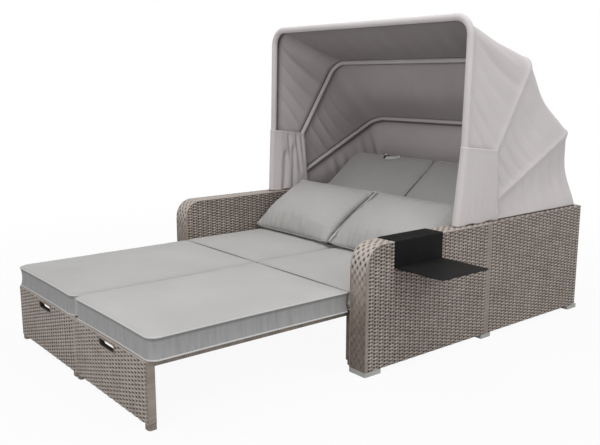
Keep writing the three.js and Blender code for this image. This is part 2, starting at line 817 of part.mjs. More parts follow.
function bowTube(hoopShape) {
  const across = new THREE.Vector3().crossVectors(unitX, hoopShape.up);
  const rings = hoopLine(hoopShape, bowHalfWidth, bowCornerRadius).map(({ centre, square }) => {
    const ring = [];
    for (let i = 0; i < bowSides; i++) {
      const angle = (2 * Math.PI * (i + 0.5)) / bowSides;
      const point = centre.clone().addScaledVector(square, bowRadius * Math.cos(angle));
      ring.push(point.addScaledVector(across, bowRadius * Math.sin(angle)));
    }
    return ring;
  });
  return loft(rings);
}

// A flattened tube end: a strap with a round nose on the pivot, running into the tube at the knee
function bowTab(hoopShape, middleX) {
  const length = tabLength + tabOverlap;
  const half = tabWidth / 2;
  const strip = new THREE.Shape();
  strip.moveTo(length, -half);
  strip.lineTo(length, half);
  strip.lineTo(0, half);
  strip.absarc(0, 0, half, Math.PI / 2, (3 * Math.PI) / 2);
  strip.closePath();
  const hole = new THREE.Path();
  hole.absarc(0, 0, pivotBoltRadius + pinClearance, 0, 2 * Math.PI);
  strip.holes.push(hole);
  const tab = push(strip, "x", [middleX - tabThickness / 2, middleX + tabThickness / 2]);
  const lean = Math.atan2(hoopShape.knee.z - pivotZ, hoopShape.knee.y - pivotY);
  return tab.rotateX(lean).translate(0, pivotY, pivotZ);
}

const tabOffsets = { front: -tabPitch, middle: 0, rear: tabPitch };
for (const [word, bow] of Object.entries(bows)) {
  const shape = hoop(bow);
  const tabs = sides.map(([, side]) => bowTab(shape, side * (bowHalfWidth + tabOffsets[word])));
  add(`${word}_bow`, join([bowTube(shape), ...tabs]), bowAlloy);
}

// Clevis bracket on each arm, and the bolt through it and the three tabs
const cheekInner = tabPitch + tabThickness / 2 + bracketCheekGap;
const cheekOuter = cheekInner + bracketCheek;
function bracket(side) {
  const floor = sideHeight + fitGap;
  const low = pivotY - bracketLength / 2;
  const high = pivotY + bracketLength / 2;
  const cheek = outline([
    [low, floor],
    [high, floor],
    [pivotY + bracketHead, pivotZ + bracketHead, bracketHead],
    [pivotY - bracketHead, pivotZ + bracketHead, bracketHead],
  ]);
  const base = span(side, bowHalfWidth - cheekOuter, bowHalfWidth + cheekOuter);
  const cheeks = [
    span(side, bowHalfWidth - cheekOuter, bowHalfWidth - cheekInner),
    span(side, bowHalfWidth + cheekInner, bowHalfWidth + cheekOuter),
  ];
  const foundation = box(base, [low, high], [floor, floor + bracketBase]);
  const whole = join([foundation, ...cheeks.map((spanX) => push(cheek, "x", spanX))]);
  const bore = rod(pivotBoltRadius + pinClearance, [base[0] - overrun, base[1] + overrun], pivotY, pivotZ);
  return cut(whole, [bore]);
}

function pivotBolt(side) {
  const end = cheekOuter + fitGap;
  const shank = span(side, bowHalfWidth - end, bowHalfWidth + end);
  const heads = [
    span(side, bowHalfWidth - end - pivotHeadLength, bowHalfWidth - end),
    span(side, bowHalfWidth + end, bowHalfWidth + end + pivotHeadLength),
  ];
  const pieces = [rod(pivotBoltRadius, shank, pivotY, pivotZ)];
  for (const head of heads) pieces.push(rod(pivotHeadRadius, head, pivotY, pivotZ, 12));
  return join(pieces);
}

for (const [word, side] of sides) {
  add(`canopy_bracket_${word}`, bracket(side), coatedSteel);
  add(`canopy_bolt_${word}`, pivotBolt(side), zinc);
}

// Canopy cloth: three sheets, each from one rib to the next. The last rib is the hem round the body
const clothOut = bowRadius + clothClearance + clothThickness / 2;
const hemZ = sideHeight + hemRise;
const clothHalfWidth = bowHalfWidth + clothOut;

function rib(bow) {
  const { knee, up } = hoop(bow);
  const low = knee.clone().addScaledVector(up, (hemZ - knee.z) / up.z);
  const top = fromPivot(bow.reach, bow.topAngle).addScaledVector(up, clothOut);
  return { low, up, rise: top.distanceTo(low), corner: bowCornerRadius + clothOut };
}

function hemRib() {
  const low = new THREE.Vector3(0, pivotY + hemStart, hemZ);
  const rise = bodyDepth - hemBackInset - low.y;
  return { low, up: unitY.clone(), rise, corner: hemCornerRadius };
}

// A column of the cloth on a rib: where it is, and which way is out of the tent
const clothColumns = 2 * (clothLegColumns + clothCornerColumns) + clothTopColumns + 1;
function ribPoint({ low, up, rise, corner }, column) {
  const mirrored = column > (clothColumns - 1) / 2;
  const i = mirrored ? clothColumns - 1 - column : column;
  const onLeg = i <= clothLegColumns;
  const onCorner = !onLeg && i <= clothLegColumns + clothCornerColumns;
  let [x, along, turn] = [clothHalfWidth, ((rise - corner) * i) / clothLegColumns, 0];
  if (onCorner) {
    turn = (((i - clothLegColumns) / clothCornerColumns) * Math.PI) / 2;
    x = clothHalfWidth - corner * (1 - Math.cos(turn));
    along = rise - corner * (1 - Math.sin(turn));
  } else if (!onLeg) {
    turn = Math.PI / 2;
    const share = (i - clothLegColumns - clothCornerColumns) / (clothTopColumns / 2);
    x = (clothHalfWidth - corner) * (1 - share);
    along = rise;
  }
  const sign = mirrored ? 1 : -1;
  const place = low.clone().addScaledVector(up, along).setX(sign * x);
  const out = up.clone().multiplyScalar(Math.sin(turn)).setX(sign * Math.cos(turn));
  return { place, out, along, side: Math.cos(turn) };
}

function clothPoint(from, to, sag, column, row, offset) {
  const t = clothEdgeShare + (1 - 2 * clothEdgeShare) * (row / (clothRows - 1));
  const a = ribPoint(from, column);
  const b = ribPoint(to, column);
  const point = a.place.clone().lerp(b.place, t);
  const out = a.out.clone().lerp(b.out, t).normalize();
  const between = Math.sin(Math.PI * t) ** 2;
  const free = THREE.MathUtils.smoothstep(Math.min(a.along, b.along), sideFoldFree, 2 * sideFoldFree);
  const fold = sideFoldDepth * a.side * free * (0.5 - 0.5 * Math.cos(2 * Math.PI * sideFoldCount * t));
  const inward = sag * between * (1 - a.side) + fold;
  return point.addScaledVector(out, offset - inward);
}

const ribs = { front: rib(bows.front), middle: rib(bows.middle), rear: rib(bows.rear), hem: hemRib() };
const ribOrder = Object.keys(ribs);
ribOrder.slice(0, -1).forEach((word, i) => {
  const from = ribs[word];
  const to = ribs[ribOrder[i + 1]];
  const face = (offset) => (column, row) => clothPoint(from, to, clothSag[word], column, row, offset);
  const cloth = sheet(clothColumns, clothRows, face(clothThickness / 2), face(-clothThickness / 2));
  add(`canopy_${word}_panel`, cloth, canopyCloth);
});

// Side flaps: a sleeve of cloth round the lower bows, open at the back, with soft upright folds
const flapLegPoints = 7;
const flapNosePoints = 6;
const flapRows = 5;
function flapPlan(noseY) {
  const innerX = bowHalfWidth - bowRadius - flapInnerGap;
  const outerX = clothHalfWidth + clothThickness + flapOuterGap;
  const radius = (outerX - innerX) / 2;
  const middleX = (outerX + innerX) / 2;
  const start = noseY + radius;
  const plan = [];
  for (let i = 0; i < flapLegPoints; i++) {
    const share = i / flapLegPoints;
    plan.push({ x: innerX, y: flapRearY + (start - flapRearY) * share, out: [-1, 0], wave: 0 });
  }
  for (let i = 0; i <= flapNosePoints; i++) {
    const angle = Math.PI * (1 - i / flapNosePoints);
    const out = [Math.cos(angle), -Math.sin(angle)];
    plan.push({ x: middleX + radius * out[0], y: start + radius * out[1], out, wave: 0 });
  }
  for (let i = 1; i <= flapLegPoints * 2; i++) {
    const share = i / (flapLegPoints * 2);
    const wave = Math.sin(Math.PI * flapWaveCount * share) ** 2;
    plan.push({ x: outerX, y: start + (flapRearY - start) * share, out: [1, 0], wave });
  }
  return plan;
}

function flapPoint(side, column, row, offset) {
  const share = row / (flapRows - 1);
  const { knee, up } = hoop(bows.front);
  const bottom = sideHeight + flapBottomRise;
  const noseZ = bottom + (flapTop - bottom) * share;
  const bowY = knee.y + ((noseZ - knee.z) / up.z) * up.y;
  const noseY = bowY - bowRadius - flapNoseGap - flapNoseFlare * (1 - share);
  const { x, y, out, wave } = flapPlan(noseY)[column];
  const topZ = flapTop + ((flapRearTop - flapTop) * (y - bowY)) / (flapRearY - bowY);
  const z = bottom + (topZ - bottom) * share;
  const bulge = offset + flapWave * wave * (1 - share / 2);
  return new THREE.Vector3(side * (x + bulge * out[0]), y + bulge * out[1], z);
}

const flapColumns = 3 * flapLegPoints + flapNosePoints + 1;
for (const [word, side] of sides) {
  const face = (offset) => (column, row) => flapPoint(side, column, row, offset);
  const flap = sheet(flapColumns, flapRows, face(clothThickness / 2), face(-clothThickness / 2));
  add(`canopy_flap_${word}`, flap, canopyCloth);
}

// Side tray: one bent sheet, hooked over the right arm
function tray() {
  const t = trayThickness;
  const lipX = armInner - fitGap - t;
  const top = sideHeight + fitGap + t;
  const outer = halfBody + fitGap + t;
  const shelfTop = sideHeight - trayDrop;
  const shelfEnd = halfBody + trayShelfReach;
  const profile = outline([
    [lipX, top - trayLip],
    [lipX + t, top - trayLip],
    [lipX + t, top - t],
    [outer - t, top - t],
    [outer - t, shelfTop - t, trayBend],
    [shelfEnd, shelfTop - t],
    [shelfEnd, shelfTop],
    [outer, shelfTop],
    [outer, top, trayBend],
    [lipX, top, trayThickness],
  ]);
  const along = [trayFront, trayFront + trayWidth];
  const plan = outline([
    [lipX, along[0]],
    [shelfEnd, along[0], trayCornerRadius],
    [shelfEnd, along[1], trayCornerRadius],
    [lipX, along[1]],
  ]);
  return common(push(profile, "y", along), push(plan, "z", [0, sideHeight + trayThickness + overrun]));
}
add("side_tray", tray(), trayCoat);

// The middle of the outline goes to x = y = 0
const part = new THREE.Group();
const outlineRight = halfBody + trayShelfReach;
daybed.position.set(-(outlineRight - halfBody) / 2, -(bodyDepth + stoolFront) / 2, 0);
part.add(daybed);
export default part;
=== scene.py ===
import bpy
import math
import numpy as np
from mathutils import Matrix, Vector


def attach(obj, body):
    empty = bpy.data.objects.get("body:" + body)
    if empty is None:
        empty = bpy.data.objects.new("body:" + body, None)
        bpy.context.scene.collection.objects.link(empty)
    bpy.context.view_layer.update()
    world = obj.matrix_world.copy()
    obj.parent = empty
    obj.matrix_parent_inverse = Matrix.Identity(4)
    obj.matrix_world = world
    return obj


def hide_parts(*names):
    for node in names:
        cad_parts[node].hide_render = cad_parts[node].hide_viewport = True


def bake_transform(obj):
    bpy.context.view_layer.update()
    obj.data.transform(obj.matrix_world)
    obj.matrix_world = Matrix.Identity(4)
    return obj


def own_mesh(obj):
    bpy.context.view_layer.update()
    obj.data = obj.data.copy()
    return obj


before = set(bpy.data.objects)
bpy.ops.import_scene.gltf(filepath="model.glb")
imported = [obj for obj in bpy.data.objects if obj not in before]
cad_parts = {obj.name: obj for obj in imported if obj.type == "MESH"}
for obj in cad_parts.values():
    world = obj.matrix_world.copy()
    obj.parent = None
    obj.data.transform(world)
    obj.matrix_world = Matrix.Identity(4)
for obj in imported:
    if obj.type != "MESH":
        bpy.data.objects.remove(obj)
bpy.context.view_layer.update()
# The daybed's own axes start at the front of its arms, on its centre line
bodyShift = np.array([-0.128, -0.323, 0.0])
sides = {"left": -1, "right": 1}
upward = (0, 0, 1)
print("frame loaded")

# Camera: where the photograph was taken from
camera = {
    "place": (2.7139, -2.3561, 1.2052), "azimuth": 51.03, "elevation": 10.86, "lens": 45.29, "sensor": 36,
}
turn = (math.radians(90 - camera["elevation"]), 0, math.radians(camera["azimuth"]))
bpy.ops.object.camera_add(location=camera["place"], rotation=turn)
bpy.context.object.data.lens = camera["lens"]
bpy.context.object.data.sensor_width = camera["sensor"]
bpy.context.scene.camera = bpy.context.object


def deselect():
    bpy.ops.object.select_all(action="DESELECT")


def pick(piece):
    deselect()
    piece.select_set(True)
    bpy.context.view_layer.objects.active = piece


# Floor, soft boxes and a white room
studio = {
    "world": 0.39,
    "aim": (-0.1, 0.0, 0.5),
    "lamps": [
        {"place": (1.7, -4.0, 2.5), "size": 2.4, "power": 48},
        {"place": (0.5, -0.4, 4.4), "size": 3.4, "power": 82},
        {"place": (4.4, 0.6, 2.6), "size": 2.6, "power": 44},
    ],
    "floor": {"size": 60, "grey": 0.6, "roughness": 0.9, "near": 1.2, "far": 4.0, "nearGlow": 0.94},
}
world = bpy.data.worlds.new("whiteRoom")
bpy.context.scene.world = world
world.use_nodes = True
bpy.context.scene.view_settings.view_transform = "Standard"
for lamp in studio["lamps"]:
    way = Vector(studio["aim"]) - Vector(lamp["place"])
    turn = way.to_track_quat("-Z", "Y").to_euler()
    bpy.ops.object.light_add(type="AREA", location=lamp["place"], rotation=turn)
    bpy.context.object.data.size = lamp["size"]
    bpy.context.object.data.energy = lamp["power"]


# Materials
def linear(hexColour):
    parts = [int(hexColour[i:i + 2], 16) / 255 for i in (1, 3, 5)]
    return [p / 12.92 if p <= 0.04045 else ((p + 0.055) / 1.055) ** 2.4 for p in parts] + [1]


def addNode(material, kind, settings=None, links=None, stops=()):
    node = material.node_tree.nodes.new("ShaderNode" + kind)
    for name, value in (settings or {}).items():
        if isinstance(name, int) or name in node.inputs:
            node.inputs[name].default_value = value
        else:
            setattr(node, name, value)
    for name, output in (links or {}).items():
        material.node_tree.links.new(output, node.inputs[name])
    for number, (position, colour) in enumerate(stops):  # of a colour ramp, which starts with two
        elements = node.color_ramp.elements
        element = elements[number] if number < 2 else elements.new(position)
        element.position = position
        element.color = linear(colour)
    return node


def newMaterial(name, roughness, metallic=0.0, gloss=0.5, ior=1.5):
    material = bpy.data.materials.new(name)
    material.use_nodes = True
    shader = material.node_tree.nodes["Principled BSDF"]
    shader.inputs["Roughness"].default_value = roughness
    shader.inputs["Metallic"].default_value = metallic
    shader.inputs["Specular IOR Level"].default_value = gloss
    if metallic == 0:
        shader.inputs["IOR"].default_value = ior
    return material, shader


def wire(material, output, socket):
    material.node_tree.links.new(output, socket)


def lightWorld():
    seen = addNode(world, "LightPath").outputs
    either = seen["Is Camera Ray"]
    for ray in ("Is Glossy Ray", "Is Transmission Ray"):
        either = addNode(world, "Math", {"operation": "MAXIMUM"}, {0: either, 1: seen[ray]}).outputs[0]
    strength = addNode(world, "MapRange", {"To Min": studio["world"], "To Max": 1.0}, {"Value": either})
    background = world.node_tree.nodes["Background"]
    background.inputs["Color"].default_value = (1, 1, 1, 1)
    wire(world, strength.outputs["Result"], background.inputs["Strength"])


def layFloor():
    card = studio["floor"]
    deselect()
    bpy.ops.mesh.primitive_plane_add(size=card["size"], location=(0, 0, 0))
    floor = bpy.context.object
    floor.name = "floor"
    material, shader = newMaterial("paleFloor", card["roughness"])
    shader.inputs["Base Color"].default_value = (card["grey"], card["grey"], card["grey"], 1)
    seen = addNode(material, "LightPath").outputs["Is Camera Ray"]
    coord = addNode(material, "TexCoord").outputs["Object"]
    reach = addNode(material, "VectorMath", {"operation": "LENGTH"}, {0: coord}).outputs["Value"]
    fades = {"From Min": card["near"], "From Max": card["far"], "To Min": card["nearGlow"], "To Max": 1.0}
    far = addNode(material, "MapRange", fades, {"Value": reach}).outputs["Result"]
    share = addNode(material, "Math", {"operation": "MULTIPLY"}, {0: seen, 1: far}).outputs[0]
    glow = addNode(material, "Emission", {"Color": (1, 1, 1, 1), "Strength": 1.0}).outputs[0]
    mix = addNode(material, "MixShader", {}, {0: share, 1: shader.outputs[0], 2: glow})
    wire(material, mix.outputs[0], material.node_tree.nodes["Material Output"].inputs["Surface"])
    floor.data.materials.append(material)


# Flat polyethylene strand, extruded with fine lengthwise ribs and woven: satin, its tone drifts from strand
# to strand
strandCard = {
    "deep": "#1b1613", "dark": "#82766e", "mid": "#a2978e", "light": "#c3b9b1", "roughness": 0.5,
    "gloss": 0.25, "driftMm": 111.1, "driftShare": 0.35, "ribMm": 1.2, "ribStrength": 0.12,
    "ribHeight": 0.0004,
}


def strandMaterial():
    card = strandCard
    material, shader = newMaterial("wovenStrand", card["roughness"], gloss=card["gloss"])
    coord = addNode(material, "TexCoord").outputs["Object"]
    tone = addNode(material, "Attribute", {"attribute_name": "tone"}).outputs["Fac"]
    gap = addNode(material, "Attribute", {"attribute_name": "gap"}).outputs["Fac"]
    patches = {"Scale": 1000 / card["driftMm"], "Detail": 2.0}
    drift = addNode(material, "TexNoise", patches, {"Vector": coord}).outputs["Fac"]
    blend = {"operation": "MULTIPLY_ADD", 1: card["driftShare"]}
    mixed = addNode(material, "Math", blend, {0: drift, 2: tone}).outputs["Value"]
    stops = [(0.2, card["dark"]), (0.6, card["mid"]), (1.0, card["light"])]
    colour = addNode(material, "ValToRGB", {}, {"Fac": mixed}, stops).outputs["Color"]
    # The gap share mixes in the near-black colour, painted shade in the weave's holes and between rows
    deep = addNode(material, "Mix", {"data_type": "RGBA", 7: linear(card["deep"])}, {0: gap, 6: colour})
    wire(material, deep.outputs[2], shader.inputs["Base Color"])
    ribs = addNode(material, "TexNoise", {"Scale": 1000 / card["ribMm"], "Detail": 1.0}, {"Vector": coord})
    relief = {"Strength": card["ribStrength"], "Distance": card["ribHeight"]}
    bump = addNode(material, "Bump", relief, {"Height": ribs.outputs["Fac"]})
    wire(material, bump.outputs["Normal"], shader.inputs["Normal"])
    return material


# The same strand wound round tube, or woven behind a panel where only its rows show: up a leg the rows lie in
# height, above the legs along the daybed's depth
wrapCard = {
    "dark": "#5c534d", "light": "#a0958b", "roughness": 0.55, "gloss": 0.25, "rowMm": 7.6, "legTop": 0.2305,
    "patchMm": 33.33, "grooveStrength": 0.5, "grooveDepth": 0.001,
}


def wrapMaterial():
    card = wrapCard
    material, shader = newMaterial("wrappedStrand", card["roughness"], gloss=card["gloss"])
    coord = addNode(material, "TexCoord").outputs["Object"]
    split = addNode(material, "SeparateXYZ", {}, {"Vector": coord})
    leg = addNode(material, "Math", {"operation": "LESS_THAN", 1: card["legTop"]}, {0: split.outputs["Z"]})
    way = {0: leg.outputs["Value"], 2: split.outputs["Y"], 3: split.outputs["Z"]}
    along = addNode(material, "Mix", {"data_type": "FLOAT"}, way).outputs[0]
    pitch = {"operation": "MULTIPLY", 1: 2000 * math.pi / card["rowMm"]}
    rows = addNode(material, "Math", pitch, {0: along}).outputs["Value"]
    wave = addNode(material, "Math", {"operation": "SINE"}, {0: rows}).outputs["Value"]
    edges = {"From Min": -1.0, "From Max": -0.5}
    height = addNode(material, "MapRange", edges, {"Value": wave}).outputs["Result"]
    patches = {"Scale": 1000 / card["patchMm"], "Detail": 2.0}
    noise = addNode(material, "TexNoise", patches, {"Vector": coord}).outputs["Fac"]
    fac = addNode(material, "Math", {"operation": "MULTIPLY"}, {0: height, 1: noise}).outputs["Value"]
    colour = addNode(material, "ValToRGB", {}, {"Fac": fac}, [(0.0, card["dark"]), (0.55, card["light"])])
    wire(material, colour.outputs["Color"], shader.inputs["Base Color"])
    relief = {"Strength": card["grooveStrength"], "Distance": card["grooveDepth"]}
    bump = addNode(material, "Bump", relief, {"Height": height})
    wire(material, bump.outputs["Normal"], shader.inputs["Normal"])
    return material


# Woven polyester cover: a plain weave too fine to show, drawn at 1.1 to 1.6 mm, with a soft sheen. The boxing
# between two seams is the same cloth painted darker than the top, a painted shade, with faint upright streaks
# where the cloth is drawn. Other shares paint the cords lighter, a painted highlight, and valleys, creases
# and hems darker, painted shade
clothLook = {
    "roughness": 0.85, "gloss": 0.3, "sheen": 0.15, "sheenRoughness": 0.5, "cloudMm": 333.3,
    "threadShare": 0.35, "threadStrength": 0.15, "threadHeight": 0.0006, "streakMm": (16.13, 16.13, 166.7),
}
clothCard = {
    # Cushion cloth: its piping colour is a painted highlight on the cords, its darkest colour painted shade
    "cushion": {"shade": "#b2b1af", "light": "#c0bfbd", "threadMm": 1.4, "paintedSideShade": "#a4a4a4",
                "streak": "#999999", "piping": "#d2d1cf", "paintedShade": "#4c4b4a"},
    # The canopy's hem colour is painted shade on the cloth turned under the front bow and on the sleeves'
    # inner sides
    "canopy": {"shade": "#cec8c8", "light": "#dbd5d5", "threadMm": 1.6, "hem": "#544d4c"},
    "lining": {"shade": "#cec6c6", "light": "#dad2d3", "threadMm": 1.6, "paintedShade": "#4e4847"},
    "webbing": {"shade": "#d6d6d2", "light": "#e8e8e4", "threadMm": 1.1},
}


def clothMaterial(name):
    card = {**clothLook, **clothCard[name]}
    material, shader = newMaterial(name + "Polyester", card["roughness"], gloss=card["gloss"])
    shader.inputs["Sheen Weight"].default_value = card["sheen"]
    shader.inputs["Sheen Roughness"].default_value = card["sheenRoughness"]
    coord = addNode(material, "TexCoord").outputs["Object"]
    weft = {"Scale": 1000 / card["threadMm"], "Detail": 1.0}
    threads = addNode(material, "TexNoise", weft, {"Vector": coord}).outputs["Fac"]
    patches = {"Scale": 1000 / card["cloudMm"], "Detail": 3.0}
    cloud = addNode(material, "TexNoise", patches, {"Vector": coord}).outputs["Fac"]
    blend = {"operation": "MULTIPLY_ADD", 1: card["threadShare"]}
    mixed = addNode(material, "Math", blend, {0: threads, 2: cloud}).outputs["Value"]
    stops = [(0.35, card["shade"]), (0.95, card["light"])]
    colour = addNode(material, "ValToRGB", {}, {"Fac": mixed}, stops).outputs["Color"]
    # Each share paints the cloth towards painted shade or, on cords, towards a painted highlight
    for place in ("paintedSideShade", "piping", "hem", "paintedShade"):
        if place not in card:
            continue
        share = addNode(material, "Attribute", {"attribute_name": place}).outputs["Fac"]
        tint = addNode(material, "Mix", {"data_type": "RGBA", 7: linear(card[place])}, {0: share, 6: colour})
        if place == "paintedSideShade":
            spacing = {"Scale": tuple(1000 / mm for mm in card["streakMm"])}
            upright = addNode(material, "Mapping", spacing, {"Vector": coord}).outputs[0]
            lines = addNode(material, "TexNoise", {"Scale": 1.0, "Detail": 2.0}, {"Vector": upright})
            stops = [(0.4, card["paintedSideShade"]), (0.75, card["streak"])]
            streaks = addNode(material, "ValToRGB", {}, {"Fac": lines.outputs["Fac"]}, stops)
            wire(material, streaks.outputs["Color"], tint.inputs[7])
        colour = tint.outputs[2]
    wire(material, colour, shader.inputs["Base Color"])
    relief = {"Strength": card["threadStrength"], "Distance": card["threadHeight"]}
    bump = addNode(material, "Bump", relief, {"Height": threads})
    wire(material, bump.outputs["Normal"], shader.inputs["Normal"])
    return material


# Hard finishes, each with the fine texture that its making leaves, drawn coarse enough to show. Powder coat
# is dull and faintly pebbled, zinc plate has a cool, soft shine, bent alloy tube a warmer and duller one.
# Moulded polypropylene is even and satin, the acetal buckle smooth and near black
hardLook = {"metallic": 0.0, "gloss": 0.5, "cloudMm": 83.33, "grainHeight": 0.0005}
hardCard = {
    "trayPowderCoat": {"colour": "#101010", "spread": "#151515", "roughness": 0.6, "grainMm": 1.0,
                       "bump": 0.25, "gloss": 0.15},
    "steelPowderCoat": {"colour": "#454443", "spread": "#504f4e", "roughness": 0.45, "grainMm": 1.2,
                        "bump": 0.15},
    "zincPlate": {"colour": "#a9abad", "spread": "#b8babb", "roughness": 0.35, "grainMm": 2.5, "bump": 0.05,
                  "metallic": 1.0},
    "bentAlloyTube": {"colour": "#b9b5b2", "spread": "#c4c0bd", "roughness": 0.4, "grainMm": 3.0,
                      "bump": 0.04, "metallic": 1.0},
    "mouldedPolypropylene": {"colour": "#b4b4b1", "spread": "#c1c1be", "roughness": 0.45, "grainMm": 1.5,
                             "bump": 0.08},
    "acetalBuckle": {"colour": "#26282a", "spread": "#303234", "roughness": 0.35, "grainMm": 1.5,
                     "bump": 0.05},
}


def hardMaterial(name):
    card = {**hardLook, **hardCard[name]}
    material, shader = newMaterial(name, card["roughness"], card["metallic"], card["gloss"])
    coord = addNode(material, "TexCoord").outputs["Object"]
    grit = {"Scale": 1000 / card["grainMm"], "Detail": 2.0}
    grain = addNode(material, "TexNoise", grit, {"Vector": coord}).outputs["Fac"]
    patches = {"Scale": 1000 / card["cloudMm"], "Detail": 2.0}
    cloud = addNode(material, "TexNoise", patches, {"Vector": coord}).outputs["Fac"]
    stops = [(0.35, card["colour"]), (0.65, card["spread"])]
    colour = addNode(material, "ValToRGB", {}, {"Fac": cloud}, stops)
    wire(material, colour.outputs["Color"], shader.inputs["Base Color"])
    relief = {"Strength": card["bump"], "Distance": card["grainHeight"]}
    bump = addNode(material, "Bump", relief, {"Height": grain})
    wire(material, bump.outputs["Normal"], shader.inputs["Normal"])
    return material


lightWorld()
layFloor()
strand = strandMaterial()
wrap = wrapMaterial()
cloth = {name: clothMaterial(name) for name in clothCard}
hard = {name: hardMaterial(name) for name in hardCard}


def dress(material, *nodes):
    for node in nodes:
        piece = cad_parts[node]
        if not piece.material_slots:
            piece.data.materials.append(material)
        for slot in piece.material_slots:
            slot.material = material


for word in sides:
    dress(hard["mouldedPolypropylene"], f"front_foot_{word}", f"middle_foot_{word}", f"rear_foot_{word}")
    dress(hard["steelPowderCoat"], f"backrest_frame_{word}", f"canopy_bracket_{word}")
    dress(hard["zincPlate"], f"ratchet_plate_{word}", f"hinge_pin_{word}", f"canopy_bolt_{word}")
    dress(wrap, f"stool_frame_{word}")
    for end in ("front", "back"):
        dress(wrap, f"stool_foot_{end}_inner_{word}", f"stool_foot_{end}_outer_{word}")
dress(hard["steelPowderCoat"], "seat_frame", "rest_rail")
dress(hard["zincPlate"], "centre_hinge_bracket", "centre_hinge_pin")
dress(hard["bentAlloyTube"], "front_bow", "middle_bow", "rear_bow")
dress(hard["trayPowderCoat"], "side_tray")
print("materials made")


# Pieces
def finishPiece(piece, name, body, material, smooth=None):
    piece.name = name
    piece.data.name = name
    if piece.data.materials:
        piece.data.materials[0] = material
    else:
        piece.data.materials.append(material)
    pick(piece)
    if smooth is None:
        bpy.ops.object.shade_smooth()
    else:
        bpy.ops.object.shade_smooth_by_angle(angle=math.radians(smooth))
    if body:
        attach(piece, body)
    return piece


def finishWeave(piece, name, body="sofa"):
    finishPiece(piece, name, body, strand)


def pointValues(piece, kind):
    values = np.zeros(len(piece.data.vertices) * 3)
    piece.data.vertices.foreach_get(kind, values)
    return values.reshape(-1, 3)


def coords(piece):
    return pointValues(piece, "co")


def moveTo(piece, places):
    piece.data.vertices.foreach_set("co", np.asarray(places, float).ravel())
    piece.data.update()


def setAttribute(piece, name, values):
    attribute = piece.data.attributes.get(name) or piece.data.attributes.new(name, "FLOAT", "POINT")
    values = np.zeros(len(piece.data.vertices)) + values
    attribute.data.foreach_set("value", np.asarray(values, np.float32))


def grid(columns, rows):
    deselect()
    bpy.ops.mesh.primitive_grid_add(x_subdivisions=columns, y_subdivisions=rows, size=2)
    piece = bpy.context.object
    share = (coords(piece)[:, :2] + 1) / 2
    return piece, share[:, 0], share[:, 1]


def nth(share, count):
    return np.rint(share * count).astype(int)


def startEdit(piece, action="SELECT", elements="VERT"):
    pick(piece)
    bpy.ops.object.mode_set(mode="EDIT")
    bpy.ops.mesh.select_mode(type=elements)
    bpy.ops.mesh.select_all(action=action)


def endEdit():
    bpy.ops.object.mode_set(mode="OBJECT")


def editSome(piece, kind, chosen, elements):
    startEdit(piece, "DESELECT", elements)
    endEdit()
    getattr(piece.data, kind).foreach_set("select", chosen)
    bpy.ops.object.mode_set(mode="EDIT")


def modify(piece, kind, **settings):
    modifier = piece.modifiers.new(kind.lower(), kind)
    for name, value in settings.items():
        setattr(modifier, name, value)
    pick(piece)
    bpy.ops.object.modifier_apply(modifier=modifier.name)


def faceOut(piece):
    startEdit(piece)
    bpy.ops.mesh.remove_doubles(threshold=0.00005)
    bpy.ops.mesh.normals_make_consistent(inside=False)
    endEdit()


def faceTowards(piece, ways):
    if (pointValues(piece, "normal") * ways).sum() < 0:
        startEdit(piece)
        bpy.ops.mesh.flip_normals()
        endEdit()


def dropPoints(piece, away):
    editSome(piece, "vertices", away, "VERT")
    bpy.ops.mesh.delete(type="VERT")
    endEdit()


def joinPieces(pieces):
    deselect()
    for piece in pieces:
        piece.select_set(True)
    bpy.context.view_layer.objects.active = pieces[0]
    bpy.ops.object.join()
    return bpy.context.object


def unit(values):  # held between 0 and 1
    return np.clip(values, 0, 1)


def bell(values, width):  # 1 at 0, less to both sides
    return np.exp(-(values / width) ** 2)


def fall(values, reach):  # 1 at 0, dying away
    return np.exp(-values / reach)


# Weave: flat strands in rows, each over one upright stake and under the next, next rows the other way round.
# Beside a stake that a strand dips under there is a hole, wide on one side and narrow on the other: its
# place from the stake, its half width and its strength. Each hole and each line between two rows is painted
# towards a near-black colour, a painted shade. Round the fronts and over the tops the stakes are closer, and
# each dip is one slit along the strand. The core lies 4.6 mm down, so no hole is as deep
weaveLook = {
    "uneven": (0.7, 1.15), "crown": 0.0009, "wobble": 0.0004, "deepest": 0.0037, "sunk": 0.0008,
    "gapGain": 2.3, "gapStart": 0.14, "plainLine": 0.2, "lineStart": 0.45, "tone": 0.22, "strandTone": 0.2,
    "rowTone": 0.08, "crest": 0.5, "glint": 0.35, "glintAt": 0.22, "glintHalf": 0.16, "glintStart": 0.02,
    "plainTone": 0.3, "plainRowTone": 0.12,
}
weaveCard = {
    "side": {"stake": 0.0304, "row": 0.0076, "rise": 0.0038, "round": 0.0012, "line": 0.24,
             "wide": (-0.23, 0.12, 2.3), "narrow": (0.24, 0.085, 1.5)},
    "stool": {"stake": 0.0262, "row": 0.0076, "rise": 0.0038, "round": 0.0012, "line": 0.14,
              "wide": (-0.23, 0.18, 2.8), "narrow": (0.24, 0.09, 0.2)},
    "band": {"stake": 0.0205, "row": 0.0140, "rise": 0.0036, "round": 0.0022, "line": 0.62,
             "wide": (0.0, 0.38, 1.0), "narrow": (0.5, 0.1, 0.0), "slit": 0.235},
}
# Where the mesh has its lines, as shares of one stake and of one row
fineShares = ((0, 0.13, 0.24, 0.34, 0.5, 0.62, 0.70, 0.77, 0.86), (0.08, 0.32, 0.68, 0.92))
weaveShares = {
    "side": fineShares,
    "stool": fineShares,
    "band": ((0, 0.25, 0.5, 0.75), (0.08, 0.3, 0.5, 0.7, 0.92)),
    "far": ((0, 0.13, 0.24, 0.34, 0.5, 0.70, 0.77, 0.86), (0.1, 0.5, 0.9)),
    "hidden": ((0, 0.2, 0.5, 0.8), (0.15, 0.85)),
}


def weavePlaces(length, step, shares):
    count = max(int(round(length / step)), 1)
    places = np.add.outer(np.arange(count), shares).ravel() / count
    return np.concatenate([[0] if shares[0] > 0 else [], places, [1]]), count
